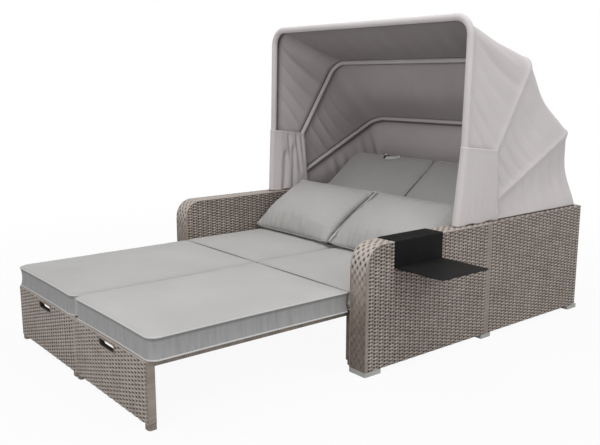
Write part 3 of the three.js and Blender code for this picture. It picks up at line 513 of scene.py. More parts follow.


# A woven strip along a path, its width in the direction across, plain at its borders. Fade weakens the
# pattern along the path, painted light makes the strands paler or darker where light or shade falls, and
# trim cuts the strip to shape
def weave(path, facing, across, width, kind, seed, detail=None, borders=(0, 0), trim=None, fade=None,
          paintedLight=0):
    card = {**weaveLook, **weaveCard[kind]}
    path, across = np.asarray(path, float), np.asarray(across, float)
    lengths = np.concatenate([[0], np.cumsum(np.linalg.norm(np.diff(path, axis=0), axis=1))])
    stakeShares, rowShares = weaveShares[detail or kind]
    alongPlaces, stakes = weavePlaces(lengths[-1], card["stake"], stakeShares)
    acrossPlaces, rows = weavePlaces(width, card["row"], rowShares)
    piece, u, v = grid(len(alongPlaces) - 1, len(acrossPlaces) - 1)
    alongShare = alongPlaces[nth(u, len(alongPlaces) - 1)]
    acrossShare = acrossPlaces[nth(v, len(acrossPlaces) - 1)]
    s, t = alongShare * lengths[-1], acrossShare * width
    stake, row = alongShare * stakes, acrossShare * rows
    i = np.rint(stake).astype(int)
    j = np.clip(np.floor(row), 0, rows - 1).astype(int)
    fromStake = stake - i
    rowEdge = (2 * np.abs(row - j - 0.5)) ** 2
    under = (i + j) % 2
    plain = (s < borders[0]) | (s > lengths[-1] - borders[1])
    random = np.random.default_rng(seed)
    hole = np.zeros(len(s))
    for at, half, strength in (card["wide"], card["narrow"]):
        strengths = strength * random.uniform(*card["uneven"], (rows, stakes + 1))
        hole = np.maximum(hole, strengths[j, i] * bell(fromStake - at, half))
    if "slit" in card:
        hole = hole * bell(row - j - 0.5, card["slit"])
    hole = np.where(plain, 0, under * hole)
    crown = np.where(plain, 0, (1 - under) * np.cos(np.pi * fromStake) ** 2)
    tones = random.uniform(0, 1, (rows, stakes + 1))
    wobble = random.uniform(-card["wobble"], card["wobble"], (rows, stakes + 1))
    lift = card["crown"] * crown - card["rise"] * hole - card["round"] * rowEdge
    lift = np.maximum(lift + np.where(plain, 0, wobble[j, i]), -card["deepest"]) - card["sunk"]
    out = np.broadcast_to(np.asarray(facing, float), path.shape)
    out = np.stack([np.interp(s, lengths, out[:, k]) for k in range(3)], 1)
    out /= np.linalg.norm(out, axis=1)[:, None]
    points = np.stack([np.interp(s, lengths, path[:, k]) for k in range(3)], 1) + t[:, None] * across
    moveTo(piece, points + bodyShift + out * lift[:, None])
    faded = fade(s) if fade else 1.0
    # Painted shade: the holes and the lines between rows darken towards the near-black colour
    gap = unit(card["gapGain"] * hole - card["gapStart"])
    line = np.where(plain, card["plainLine"], card["line"]) * np.maximum(rowEdge - card["lineStart"], 0)
    setAttribute(piece, "gap", np.maximum(gap, line) * faded)
    tone = card["tone"] + card["strandTone"] * tones[j, i] + card["rowTone"] * tones[j, 0]
    # Painted highlight: the crest share lightens each strand where it rides over a stake, the glint share the
    # rims of the holes
    tone = tone + card["crest"] * crown * (1 - rowEdge) * faded
    glint = bell(hole - card["glintAt"], card["glintHalf"]) * (hole > card["glintStart"])
    tone = tone + card["glint"] * glint
    tone = tone + (paintedLight(s) if callable(paintedLight) else paintedLight)
    setAttribute(piece, "tone", np.where(plain, card["plainTone"] + card["plainRowTone"] * tones[j, 0], tone))
    faceTowards(piece, out)
    if trim:
        dropPoints(piece, trim(s, t))
    return piece


# A strand or cord along a path of points
plainStrandTone = 0.62


def cordAlong(path, radius, segments=8, closed=False):
    curve = bpy.data.curves.new("cord", "CURVE")
    curve.dimensions = "3D"
    curve.bevel_depth = radius
    curve.bevel_resolution = max(segments // 4, 1)
    curve.use_fill_caps = not closed
    spline = curve.splines.new("POLY")
    spline.points.add(len(path) - 1)
    spline.points.foreach_set("co", np.hstack([np.asarray(path, float), np.ones((len(path), 1))]).ravel())
    spline.use_cyclic_u = closed
    piece = bpy.data.objects.new("cord", curve)
    bpy.context.collection.objects.link(piece)
    pick(piece)
    bpy.ops.object.convert(target="MESH")
    piece = bpy.context.object
    setAttribute(piece, "tone", plainStrandTone)
    setAttribute(piece, "gap", 0)
    return piece


def copyOf(node):
    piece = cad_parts[node].copy()
    piece.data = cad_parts[node].data.copy()
    bpy.context.collection.objects.link(piece)
    piece.parent = None
    piece.matrix_world = Matrix.Identity(4)
    piece.hide_render = piece.hide_viewport = False
    for key in list(piece.keys()):
        del piece[key]
    faceOut(piece)
    return piece


# The dark woven wall behind each skin: the panel's own form, drawn in
coreInset = 0.0046


def core(node, name, body="sofa"):
    piece = copyOf(node)
    startEdit(piece)
    bpy.ops.transform.shrink_fatten(value=-coreInset, use_even_offset=True)
    endEdit()
    finishPiece(piece, name, body, wrap, 30)
    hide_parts(node)


# Arms: two woven faces, a band of broader strands round the front and the top, an edge strand on both sides.
# The band and its edge strands are painted paler on the nose and the top and darker low down, painted light
# and shade
armCard = {
    "inner": 0.652, "outer": 0.75, "depth": 0.7867, "nose": 0.092, "step": 0.006, "edge": 0.0026,
    "edgeInset": 0.0027, "rimGap": 0.002, "innerPaintedShade": -0.1, "edgePaintedLight": (0.25, 0.70),
    "edgeHeights": (0.4, 0.5), "fadeShare": 0.35, "fadeFrom": 0.36, "fadeOver": 0.08,
    "paintedLightAt": (0, 0.22, 0.40, 0.48, 0.64, 0.9), "paintedLight": (-0.55, -0.35, 0.05, 0.75, 0.75, 0.4),
}
low, high = 0.02, 0.55
wallHeight = high - low
columnWidth = 0.015


def armPath(offset=0.0):
    radius, step = armCard["nose"], armCard["step"]
    turns = [math.radians(a) for a in np.linspace(180, 90, 19)]
    front = [(0, z) for z in np.arange(low, high - radius, step)]
    nose = [(radius + radius * math.cos(a), high - radius + radius * math.sin(a)) for a in turns]
    top = [(y, high) for y in np.arange(radius + step, armCard["depth"], step)] + [(armCard["depth"], high)]
    path = np.array(front + nose + top)
    along = np.gradient(path, axis=0)
    along /= np.linalg.norm(along, axis=1)[:, None]
    normal = np.stack([-along[:, 1], along[:, 0]], 1)
    return path + normal * offset, normal


def inPlane(points, x):
    return np.column_stack([np.full(len(points), x), points])


def trimArm(s, t):
    radius = armCard["nose"]
    edge = np.where(s < radius, high - radius + np.sqrt(np.maximum(radius ** 2 - (radius - s) ** 2, 0)), high)
    return t + low > edge - armCard["rimGap"]


def bandFade(s):
    share = armCard["fadeShare"]
    return share + (1 - share) * unit((s - armCard["fadeFrom"]) / armCard["fadeOver"])


# Painted light and shade along the band: darker low down, paler over the nose and the top
def bandPaintedLight(s):
    return np.interp(s, armCard["paintedLightAt"], armCard["paintedLight"])


def weaveArm(word, side):
    card = armCard
    # The inner faces' strands are painted darker, a painted shade
    for name, way, shade in (("Outer", side, 0), ("Inner", -side, card["innerPaintedShade"])):
        x = card[name.lower()]
        wall = [(side * x, 0, low), (side * x, card["depth"], low)]
        seed = 11 + side + int(1000 * x)
        skin = weave(wall, (way, 0, 0), upward, wallHeight, "side", seed,
                     borders=(columnWidth, columnWidth), trim=trimArm, paintedLight=shade)
        finishWeave(skin, f"arm{name}Weave_{word}")
    path, normal = armPath()
    inset = 2 * card["edgeInset"]
    line = inPlane(path, side * (card["inner"] + inset))
    width = card["outer"] - card["inner"] - 2 * inset
    band = weave(line, inPlane(normal, 0), (side, 0, 0), width, "band", 31 + side,
                 fade=bandFade, paintedLight=bandPaintedLight)
    path, _ = armPath(-card["edgeInset"])
    parts = [band]
    for x in (card["inner"] + card["edgeInset"], card["outer"] - card["edgeInset"]):
        edge = cordAlong(inPlane(path, side * x) + bodyShift, card["edge"])
        # The edge strands are painted dark low down and pale from the nose up, painted light and shade
        setAttribute(edge, "tone", np.interp(coords(edge)[:, 2], card["edgeHeights"], card["edgePaintedLight"]))
        parts.append(edge)
    core(f"arm_{word}", f"armCore_{word}")
    finishWeave(joinPieces(parts), f"armBand_{word}")


for word, side in sides.items():
    weaveArm(word, side)
print("arms woven")

# Rear sides and rear panel: woven outside and inside, a flat woven rim on top
rearCard = {
    "outer": 0.75, "inner": 0.71, "start": 0.7873, "back": 1.558, "corner": 0.024, "wall": 0.04,
    "rimInset": 0.0025, "plainEnd": 0.05, "sideGap": 0.0003,
}


def rearSidePath(side):
    card = rearCard
    turns = [math.radians(a) for a in np.linspace(0, 90, 9)]
    x, y = card["outer"] - card["corner"], card["back"] - card["corner"]
    points = [(card["outer"], card["start"])]
    points += [(x + card["corner"] * math.cos(turn), y + card["corner"] * math.sin(turn)) for turn in turns]
    points += [(card["inner"], card["back"])]
    ways = [(1, 0)] + [(math.cos(turn), math.sin(turn)) for turn in turns] + [(0, 1)]
    return [(side * px, py, low) for px, py in points], [(side * wx, wy, 0) for wx, wy in ways]


def weaveRear():
    card = rearCard
    inset = card["rimInset"]
    for word, side in sides.items():
        path, ways = rearSidePath(side)
        outer = weave(path, ways, upward, wallHeight, "side", 51 + side,
                      borders=(columnWidth, card["plainEnd"]))
        finishWeave(outer, f"rearSideOuterWeave_{word}")
        x = side * card["inner"]
        wall = [(x, card["start"], low), (x, card["back"] - card["wall"], low)]
        inner = weave(wall, (-side, 0, 0), upward, wallHeight, "side", 61 + side, "hidden")
        finishWeave(inner, f"rearSideInnerWeave_{word}")
        core(f"rear_side_{word}", f"rearSideCore_{word}")
        x = side * (card["inner"] + inset)
        line = [(x, card["start"], high), (x, card["back"] - inset, high)]
        width = card["outer"] - card["inner"] - 2 * inset
        finishWeave(weave(line, upward, (side, 0, 0), width, "band", 71 + side), f"rearSideRim_{word}")
    x = card["inner"] - card["sideGap"]
    outside, inside = card["back"], card["back"] - card["wall"]
    for name, y, way, seed, detail in (("Outer", outside, 1, 81, "far"), ("Inner", inside, -1, 83, "hidden")):
        wall = [(-x, y, low), (x, y, low)]
        panel = weave(wall, (0, way, 0), upward, wallHeight, "side", seed, detail)
        finishWeave(panel, f"rearPanel{name}Weave")
    core("rear_panel", "rearPanelCore")
    line = [(-x, inside + inset, high), (x, inside + inset, high)]
    finishWeave(weave(line, upward, (0, 1, 0), card["wall"] - 2 * inset, "band", 85), "rearPanelRim")


weaveRear()
print("rear woven")

# Footstool fronts: woven face with a hand-hole in a rolled strand, two strands laid along the top edge, and
# the plain wound side of the corner post
stoolCard = {
    "near": 0.001, "far": 0.618, "front": -0.912, "top": 0.255, "post": 0.036, "thickness": 0.014,
    # The front faces' strands are painted 0.12 lighter, a painted light
    "paintedLight": 0.12, "edge": 0.0036, "edgeAt": (0.0036, 0.0104),
}
holeCard = {
    "width": 0.13, "height": 0.028, "drop": 0.014, "radius": 0.012, "roll": 0.003, "depth": 0.021,
    # The rolled strand and the tunnel inside are painted dark, a painted shade in the hand-hole
    "inset": 0.001, "widen": 0.002, "rollOut": 0.0006, "lipGap": 0.003, "rollTone": 0.25, "insideTone": 0.1,
    "insideGap": 0.8,
}


def holeRing(middle, y, grow=0.0):
    halfWidth = holeCard["width"] / 2 + grow
    bottom = stoolCard["top"] - holeCard["drop"] - holeCard["height"] - grow
    top = stoolCard["top"] - holeCard["drop"] + grow
    radius = holeCard["radius"] + grow
    ring = []
    upper, lower = top - radius, bottom + radius
    for sign, z, start in ((1, upper, 0), (-1, upper, 90), (-1, lower, 180), (1, lower, 270)):
        for turn in np.radians(start + np.linspace(0, 90, 9)):
            x = middle + sign * (halfWidth - radius) + radius * math.cos(turn)
            ring.append((x, y, z + radius * math.sin(turn)))
    return np.array(ring)


def holeTunnel(middle):
    start = stoolCard["front"] + holeCard["inset"]
    rings = [holeRing(middle, start + holeCard["depth"] * step) for step in (0, 0.5, 1)]
    lip = stoolCard["front"] + stoolCard["thickness"] - holeCard["lipGap"]
    rings += [holeRing(middle, y, holeCard["widen"]) for y in (start + holeCard["depth"], lip)]
    count = len(rings[0])
    tunnel, u, v = grid(count, len(rings) - 1)
    moveTo(tunnel, np.array(rings)[nth(v, len(rings) - 1), nth(u, count) % count] + bodyShift)
    faceOut(tunnel)
    # Painted shade inside the hand-hole
    setAttribute(tunnel, "tone", holeCard["insideTone"])
    setAttribute(tunnel, "gap", holeCard["insideGap"])
    return tunnel


def weaveStool(word, side):
    card = stoolCard
    middle = side * (card["near"] + card["far"]) / 2
    body = f"footstool_{word}"
    near, far, front, height = side * card["near"], side * card["far"], card["front"], card["top"] - low

    def insideHole(s, t):
        x = near + side * s - middle
        z = t + low - (card["top"] - holeCard["drop"] - holeCard["height"] / 2)
        reaches = [holeCard[key] / 2 + holeCard["widen"] for key in ("width", "height")]
        return (np.abs(x) < reaches[0]) & (np.abs(z) < reaches[1])
    face = weave([(near, front, low), (far, front, low)], (0, -1, 0), upward, height, "stool", 91 + side,
                 trim=insideHole, paintedLight=card["paintedLight"])
    ring = holeRing(middle, front + holeCard["rollOut"], holeCard["widen"])
    roll = cordAlong(ring + bodyShift, holeCard["roll"], 12, True)
    setAttribute(roll, "tone", holeCard["rollTone"])
    parts = [face, roll, holeTunnel(middle)]
    for y in card["edgeAt"]:
        line = [(x, front + y, card["top"] - card["edge"]) for x in (near, far)]
        parts.append(cordAlong(np.array(line) + bodyShift, card["edge"]))
    post = [(far, front, low), (far, front + card["post"], low)]
    parts.append(weave(post, (side, 0, 0), upward, height, "side", 95 + side, borders=(1, 1)))
    core(f"stool_panel_{word}", f"stoolCore_{word}", body)
    finishWeave(joinPieces(parts), f"stoolFrontWeave_{word}", body)


for word, side in sides.items():
    weaveStool(word, side)

# Seat apron: the woven strip below the seat cushions' front edge
apronCard = {"half": 0.6517, "y": 0.0018, "low": 0.257, "high": 0.284}
line = [(x, apronCard["y"], apronCard["low"]) for x in (-apronCard["half"], apronCard["half"])]
apron = weave(line, (0, -1, 0), upward, apronCard["high"] - apronCard["low"], "side", 99)
finishWeave(apron, "seatApronWeave")
core("seat_front_apron", "seatApronCore")
print("footstools woven")

# Box cushions: a subdivided block, its points moved to a crowned top, sides drawn in between two piped seams.
# Where two cushions meet, the corner is tight, the cord lies further in, and the top is painted darker into
# a valley, a painted shade, as is a thin line just below the top seam. A number that ends in Mm, and a depth
# or shade with its reach, is measured in from the seam
cushionCard = {
    "inner": 0.0023, "outer": 0.6455, "corner": 0.042, "tight": 0.007, "drawIn": 0.005, "pullIn": 0.004,
    "cuts": (56, 56, 9), "evenShare": 0.3,
    "crown": 0.018, "rollMm": 11.0, "rollShare": 0.42, "swellMm": 58.0, "edgeMm": 8, "sagMm": 20,
    "pucker": 0.0009, "puckerMm": 22, "puckerSpans": (0.021, 0.034, 0.055),
    "wave": 0.0012, "waveSpans": ((0.17, 0.29), (0.23, 0.41)), "waveSlants": (0.6, -0.3),
    "streak": 0.0009, "streakSpans": (0.013, 0.024, 0.043, 0.09),
    "valley": ((0.34, 0.006), (0.08, 0.028)), "endValley": (0.1, 0.02), "paintedShade": 0.9, "creaseMm": (5.2, 3.0),
    "piping": 0.0034, "cordInset": 0.0013, "cordIn": (0.0008, 0.0005), "cordEnds": 0.006,
    "cordShade": 0.75, "meetingShade": 0.08, "upperLight": 0.55, "fill": 0.75,
}
cushionSets = {
    "seatCushion": {"node": "seat_cushion", "slot": "cushion_cloth", "from": 0.0045, "to": 0.6695,
                    "base": 0.2843, "belly": 0.0032, "seam": 0.0575, "meets": -1},
    "stoolCushion": {"node": "stool_cushion", "slot": "cushion_cloth", "from": -0.908, "to": 0.0015,
                     "base": 0.2553, "belly": 0.003, "seam": 0.084, "meets": 1},
    "backCushion": {"node": "back_cushion", "slot": "back_cloth", "from": 0.03, "to": 0.694, "base": 0.0003,
                    "belly": 0.004, "seam": 0.0735, "meets": 0},
}
hinge = {"y": 0.740, "z": 0.27065, "angle": 36.3}
level = Matrix.Translation(Vector(bodyShift))
leaned = Matrix.Translation(Vector(bodyShift) + Vector((0, hinge["y"], hinge["z"])))
leaned = leaned @ Matrix.Rotation(math.radians(hinge["angle"]), 4, "X")


def blockGrid(cuts):
    deselect()
    bpy.ops.mesh.primitive_cube_add(size=2)
    piece = bpy.context.object
    for axis, number in enumerate(cuts):
        ends = np.zeros(len(piece.data.edges) * 2, int)
        piece.data.edges.foreach_get("vertices", ends)
        starts, stops = coords(piece)[ends.reshape(-1, 2)].transpose(1, 0, 2)
        editSome(piece, "edges", np.abs(starts - stops)[:, axis] > 0.001, "EDGE")
        bpy.ops.mesh.subdivide(number_cuts=number)
        endEdit()
    return piece


def ringRound(edge):
    one = np.ones(len(edge))
    return np.concatenate([edge, one, -edge, -one]), np.concatenate([-one, edge, one, -edge])


def spread(share):
    even = cushionCard["evenShare"]
    return even * share + (1 - even) * np.sin(np.pi * share / 2)


def roundedPlan(a, b, halfX, halfY, inset, meets):
    hx, hy = halfX - inset, halfY - inset
    radius = np.where(b * meets > 0, cushionCard["tight"], cushionCard["corner"])
    x, y = np.abs(hx * spread(a)), np.abs(hy * spread(b))
    ux, uy = unit((x - hx + radius) / radius), unit((y - hy + radius) / radius)
    px = np.minimum(x, hx - radius) + radius * ux * np.sqrt(1 - uy ** 2 / 2)
    py = np.minimum(y, hy - radius) + radius * uy * np.sqrt(1 - ux ** 2 / 2)
    straight = np.minimum(hx - px, hy - py)
    corner = radius - np.hypot(px - hx + radius, py - hy + radius)
    fromRim = np.where((ux > 0) & (uy > 0), np.minimum(corner, straight), straight)
    soft = (np.maximum(hx - px, 1e-5) ** -3.0 + np.maximum(hy - py, 1e-5) ** -3.0) ** (-1 / 3)
    pull = cushionCard["pullIn"]
    pulledX = px - pull * np.cos(np.pi * np.minimum(py / hy, 1) / 2) * (px / hx) ** 4
    pulledY = py - pull * np.cos(np.pi * np.minimum(px / hx, 1) / 2) * (py / hy) ** 4
    return np.sign(a) * pulledX, np.sign(b) * pulledY, np.maximum(np.minimum(fromRim, soft), 0)


def ripples(values, spans, random, strength=1.0):
    total = np.zeros(len(values))
    for span in spans:
        total += np.sin(2 * np.pi * values / span + random.uniform(0, 2 * np.pi))
    return strength * total / len(spans)


def crownRise(d):  # d is the distance in from the seam in mm
    share = cushionCard["rollShare"]
    return share * (1 - fall(d, cushionCard["rollMm"])) + (1 - share) * (1 - fall(d, cushionCard["swellMm"]))


def cushionCords(card, side, halfX, halfY, centre):
    meets = card["meets"]
    ringA, ringB = ringRound(np.linspace(-1, 1, 60)[:-1])
    meetingEnd, meetingSide = (unit(share * 10 - 9) for share in (ringB * meets, -ringA * side))
    further = np.maximum(card["cordIn"][0] * meetingEnd, card["cordIn"][1] * meetingSide)
    x, y, _ = roundedPlan(ringA, ringB, halfX, halfY, card["cordInset"] + further, meets)
    cords = []
    for seam in (card["belly"], card["seam"]):
        cord = cordAlong(np.column_stack([x, y, np.full(len(x), seam)]) + centre, card["piping"], 8, True)
        across, along, up = (coords(cord) - centre).T
        outer = (across * side > card["cordEnds"] - halfX) & (along * meets < halfY - card["cordEnds"])
        isUpper = seam > card["belly"]
        # The top cord's lower half is painted dark, and cords where cushions meet faintly dark, painted
        # shade; the outer cords are painted lighter, fully on the bottom cord, a painted highlight
        shaded = card["cordShade"] * outer * (up < seam - 0.2 * card["piping"]) * isUpper
        setAttribute(cord, "paintedShade", np.where(outer, shaded, card["meetingShade"] * isUpper))
        setAttribute(cord, "piping", outer * (card["upperLight"] if isUpper else 1))
        cords.append(cord)
    return cords


def boxCushion(name, word, side, body, placement, seed):
    card = {**cushionCard, **cushionSets[name]}
    meets = card["meets"]
    halfX, halfY = (card["outer"] - card["inner"]) / 2, (card["to"] - card["from"]) / 2
    middle = side * (card["outer"] + card["inner"]) / 2
    centre = np.array([middle, (card["from"] + card["to"]) / 2, card["base"]])
    random = np.random.default_rng(seed)
    piece = blockGrid(card["cuts"])
    a, b, c = coords(piece).T
    c = np.sin(np.pi * c / 2)
    isTop, isBottom = c > 0.999, c < -0.999
    isFlat = isTop | isBottom
    x, y, fromRim = roundedPlan(a, b, halfX, halfY, np.where(isFlat, 0, card["drawIn"] * (1 - c ** 2)), meets)
    height = card["belly"] + (c + 1) / 2 * (card["seam"] - card["belly"])
    d = fromRim * 1000
    around = np.where(np.abs(a) > np.abs(b), y, x)
    pucker = ripples(around, card["puckerSpans"], random, card["pucker"]) * fall(d, card["puckerMm"])
    wave = ripples(x + card["waveSlants"][0] * y, card["waveSpans"][0], random)
    wave = wave * ripples(y + card["waveSlants"][1] * x, card["waveSpans"][1], random)
    top = card["crown"] * crownRise(d) + (pucker + card["wave"] * wave) * np.minimum(d / card["edgeMm"], 1)
    sag = card["belly"] * unit(d / card["sagMm"])
    z = np.where(isTop, height + top, np.where(isBottom, height - sag, height))
    streak = ripples(around, card["streakSpans"], random, card["streak"]) * (1 - c ** 2)
    outX = np.where(np.abs(a) >= np.abs(b), np.sign(a), 0)
    outY = np.where(np.abs(b) > np.abs(a), np.sign(b), 0)
    moveTo(piece, np.column_stack([x + streak * outX, y + streak * outY, z]) + centre)
    isMeeting = (a * side < -0.999) | (b * meets > 0.999)
    # Painted shade: the top darkens towards each edge that meets another cushion
    valley = sum(shade * fall(halfX + side * x, reach) for shade, reach in card["valley"])
    if meets:
        shade, reach = card["endValley"]
        valley = np.maximum(valley, shade * fall(halfY - meets * y, reach))
    # A painted shadow line on the sides, just below the top seam
    belowSeam = (1 - c) / 2 * (card["seam"] - card["belly"]) * 1000
    below = card["paintedShade"] * bell(belowSeam - card["creaseMm"][0], card["creaseMm"][1])
    # The sides get a darker colour than the top, painted shade on the same cloth
    setAttribute(piece, "paintedSideShade", ~(isFlat | isMeeting))
    setAttribute(piece, "paintedShade", np.where(isTop, valley, np.where(isBottom | isMeeting, 0, below)))
    faceOut(piece)
    whole = joinPieces([piece] + cushionCords(card, side, halfX, halfY, centre))
    whole.data.transform(placement)
    finishPiece(whole, f"{name}_{word}", body, cloth["cushion"])
    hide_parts(f"{card['node']}_{word}")


for word, side in sides.items():
    boxCushion("seatCushion", word, side, "sofa", level, 201 + side)
    boxCushion("stoolCushion", word, side, f"footstool_cushion_{word}", level, 211 + side)
    boxCushion("backCushion", word, side, f"backrest_{word}", leaned, 221 + side)
print("cushions made")

# Straps: webbing up from the frame and over the cushion's top edge, drooping across its face through a
# buckle. Places along and off the backrest: both legs rise from the first height to the second, then lean
# over the edge
strapCard = {
    "place": 0.323, "half": 0.058, "end": 0.6966, "rise": (-0.0115, 0.074), "lean": (0.004, 0.012),
    "droop": 0.046, "slack": 0.01, "off": 0.0022, "free": 0.086, "freeDrop": 0.02, "twist": 80,
    "twistOver": 1.6, "steps": 34, "width": 0.024, "thick": 0.0016, "buckle": (0.032, 0.022, 0.006),
    "buckleAt": 0.2, "buckleOff": 0.001, "buckleTurn": -24, "frame": 0.2, "recess": 0.45, "edge": 0.0009,
}


def strapPath(side):
    card, cushion = strapCard, cushionSets["backCushion"]
    middle, half = side * card["place"], card["half"]
    back, up = card["lean"]
    legs = [(card["end"], v) for v in np.linspace(*card["rise"], 14)]
    legs += [(card["end"] - back * k ** 2, card["rise"][1] + up * k) for k in np.linspace(0.2, 1, 5)]
    over, turns = [], []
    for s in np.linspace(0, 1, card["steps"])[1:-1]:
        droop = math.sin(math.pi * s)
        u = card["end"] - back - card["droop"] * droop
        crown = cushionCard["crown"] * crownRise(max((cushion["to"] - u) * 1000, 0))
        lying = cushion["base"] + cushion["seam"] + crown + card["off"]
        hanging = card["free"] - card["freeDrop"] * droop
        over.append((middle - half + 2 * half * s, u, max(lying, hanging) + card["slack"] * droop ** 2))
        turn = math.radians(card["twist"]) * min(droop * card["twistOver"], 1)
        turns.append((math.cos(turn) * (1 if s < 0.5 else -1), math.sin(turn), 0))
    points = [(middle - half, u, v) for u, v in legs] + over + [(middle + half, u, v) for u, v in legs[::-1]]
    straight = [(1, 0, 0)] * len(legs)
    return np.array(points), np.array(straight + turns + straight, float)


def buckleAt(place, side):
    card = strapCard
    deselect()
    bpy.ops.mesh.primitive_cube_add(size=1)
    buckle = bpy.context.object
    editSome(buckle, "polygons", [face.normal.z > 0.5 for face in buckle.data.polygons], "FACE")
    bpy.ops.mesh.inset(thickness=card["frame"])
    bpy.ops.mesh.extrude_region_move(TRANSFORM_OT_translate={"value": (0, 0, -card["recess"])})
    endEdit()
    shift = Matrix.Translation(Vector(place) + Vector((0, 0, card["buckleOff"])))
    turn = Matrix.Rotation(math.radians(card["buckleTurn"] * side), 4, "Z")
    buckle.data.transform(leaned @ shift @ turn @ Matrix.Diagonal((*card["buckle"], 1)))
    modify(buckle, "BEVEL", width=card["edge"], segments=2)
    return buckle


def strap(word, side):
    card = strapCard
    points, ways = strapPath(side)
    piece, u, v = grid(len(points) - 1, 4)
    column = nth(u, len(points) - 1)
    moveTo(piece, points[column] + ways[column] * ((v - 0.5) * card["width"])[:, None])
    modify(piece, "SOLIDIFY", thickness=card["thick"], offset=0)
    piece.data.transform(leaned)
    finishPiece(piece, f"cushionStrap_{word}", f"backrest_{word}", cloth["webbing"], 50)
    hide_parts(f"cushion_strap_{word}")
    place = points[int(len(points) * 0.5 - card["steps"] * (0.5 - card["buckleAt"]))]
    buckle = buckleAt(place, side)
    finishPiece(buckle, f"strapBuckle_{word}", f"backrest_{word}", hard["acetalBuckle"], 40)


for word, side in sides.items():
    strap(word, side)
print("straps made")

# Throw pillows: two faces sewn at a piped edge, gathered there, swollen by pressure, and resting on seat and
# back
pillowCard = {
    "gap": 0.0044, "width": 0.623, "height": 0.396, "frontY": 0.455, "frontZ": 0.398, "incline": 31.5,
    "front": 0.068, "back": 0.15, "edge": 0.0016, "pinch": 0.018, "innerPinch": 0.003, "power": 0.56,
    "innerPower": 0.34, "backPower": 0.5, "sink": 0.24, "drop": 0.026, "dropEnds": 0.35, "across": 84,
    "up": 56, "seatTop": 0.3601, "heelY": 0.56, "heelSlope": 0.35, "face": 0.0978,
    "gather": 0.0036, "endSpans": (0.027, 0.041, 0.078), "endReach": 0.034, "upperShare": 0.4,
    "sideSpans": (0.019, 0.031, 0.052), "sideReach": 0.024, "sideShare": 0.6, "sideSlant": 0.3,
    "quiet": 0.006, "pleat": 0.009, "pleatHalf": 0.006, "pleatLong": 0.03, "pleatLean": 0.25,
    "pleatStray": 0.05, "pleats": (-0.62, -0.45, -0.3, -0.12, 0.08, 0.2, 0.41, 0.66),
    "pleatDepths": (0.4, 1.0), "pleatLengths": (0.6, 1.4),
    # Painted shade along the seams: between the pillows, beside the outer edges, at the ends and over the
    # lower edge, and in the pleats; the inner cord is painted lighter, a painted highlight, the bottom cord
    # darker, painted shade
    "between": (1.0, 0.019), "beside": (0.3, 0.0065), "ends": (0.3, 0.005), "heel": (0.14, 0.022),
    "pleatShade": 0.5, "piping": 0.0036, "pipingLight": 0.35, "lightTo": 0.02, "bottomCord": 0.012,
    "cordPoints": 70, "pressure": 3.0, "slack": -0.02, "quality": 4, "seamReach": 0.004, "cap": 0.007,
    "frames": 20, "fill": 0.6,
}


def pillowPlace(side, a, b, out):
    card = pillowCard
    angle = math.radians(card["incline"])
    pinch = np.where(a * side < 0, card["innerPinch"], card["pinch"])
    across = card["width"] / 2 * a * (1 - pinch * (1 - b ** 2))
    up = card["height"] / 2 * (1 + b * (1 - card["pinch"] * (1 - a ** 2)))
    x = side * (card["gap"] + card["width"] / 2) + across
    y = card["frontY"] + up * math.cos(angle) - out * math.sin(angle)
    z = card["frontZ"] + up * math.sin(angle) + out * math.cos(angle)
    z = z - card["drop"] * ((1 - b) / 2) ** 5 * (1 - card["dropEnds"] * a ** 6)
    return np.column_stack([x, y, z])


def restPillow(points):
    card = pillowCard
    heel = np.maximum(points[:, 1] - card["heelY"], 0) * card["heelSlope"]
    points[:, 2] = np.maximum(points[:, 2], card["seatTop"] + heel)
    normal = np.array([0, -math.sin(math.radians(hinge["angle"])), math.cos(math.radians(hinge["angle"]))])
    height = (points - [0, hinge["y"], hinge["z"]]) @ normal
    return points + np.maximum(card["face"] - height, 0)[:, None] * normal


def gathers(a, b, random):
    card = pillowCard
    halfX, halfY = card["width"] / 2, card["height"] / 2
    fromSide, fromEnd = (1 - np.abs(a)) * halfX, (1 - np.abs(b)) * halfY
    lower = np.where(b < 0, 1.0, card["upperShare"])
    endFold = ripples(a * halfX, card["endSpans"], random) * fall(fromEnd, card["endReach"]) * lower
    sideFold = ripples(b * halfY + card["sideSlant"] * fromSide, card["sideSpans"], random)
    sideFold = sideFold * fall(fromSide, card["sideReach"]) * card["sideShare"]
    quiet = np.minimum(np.minimum(fromSide, fromEnd) / card["quiet"], 1)
    pleats = np.zeros(len(a))
    for at in card["pleats"]:
        start = at + random.uniform(-card["pleatStray"], card["pleatStray"])
        line = start * halfX + random.uniform(-card["pleatLean"], card["pleatLean"]) * fromEnd
        depth = card["pleat"] * random.uniform(*card["pleatDepths"])
        long = card["pleatLong"] * random.uniform(*card["pleatLengths"])
        pleats += depth * np.exp(-((a * halfX - line) / card["pleatHalf"]) ** 2 - fromEnd / long) * (b < 0)
    return (card["gather"] * (endFold + sideFold) - pleats) * quiet, pleats / card["pleat"] * quiet


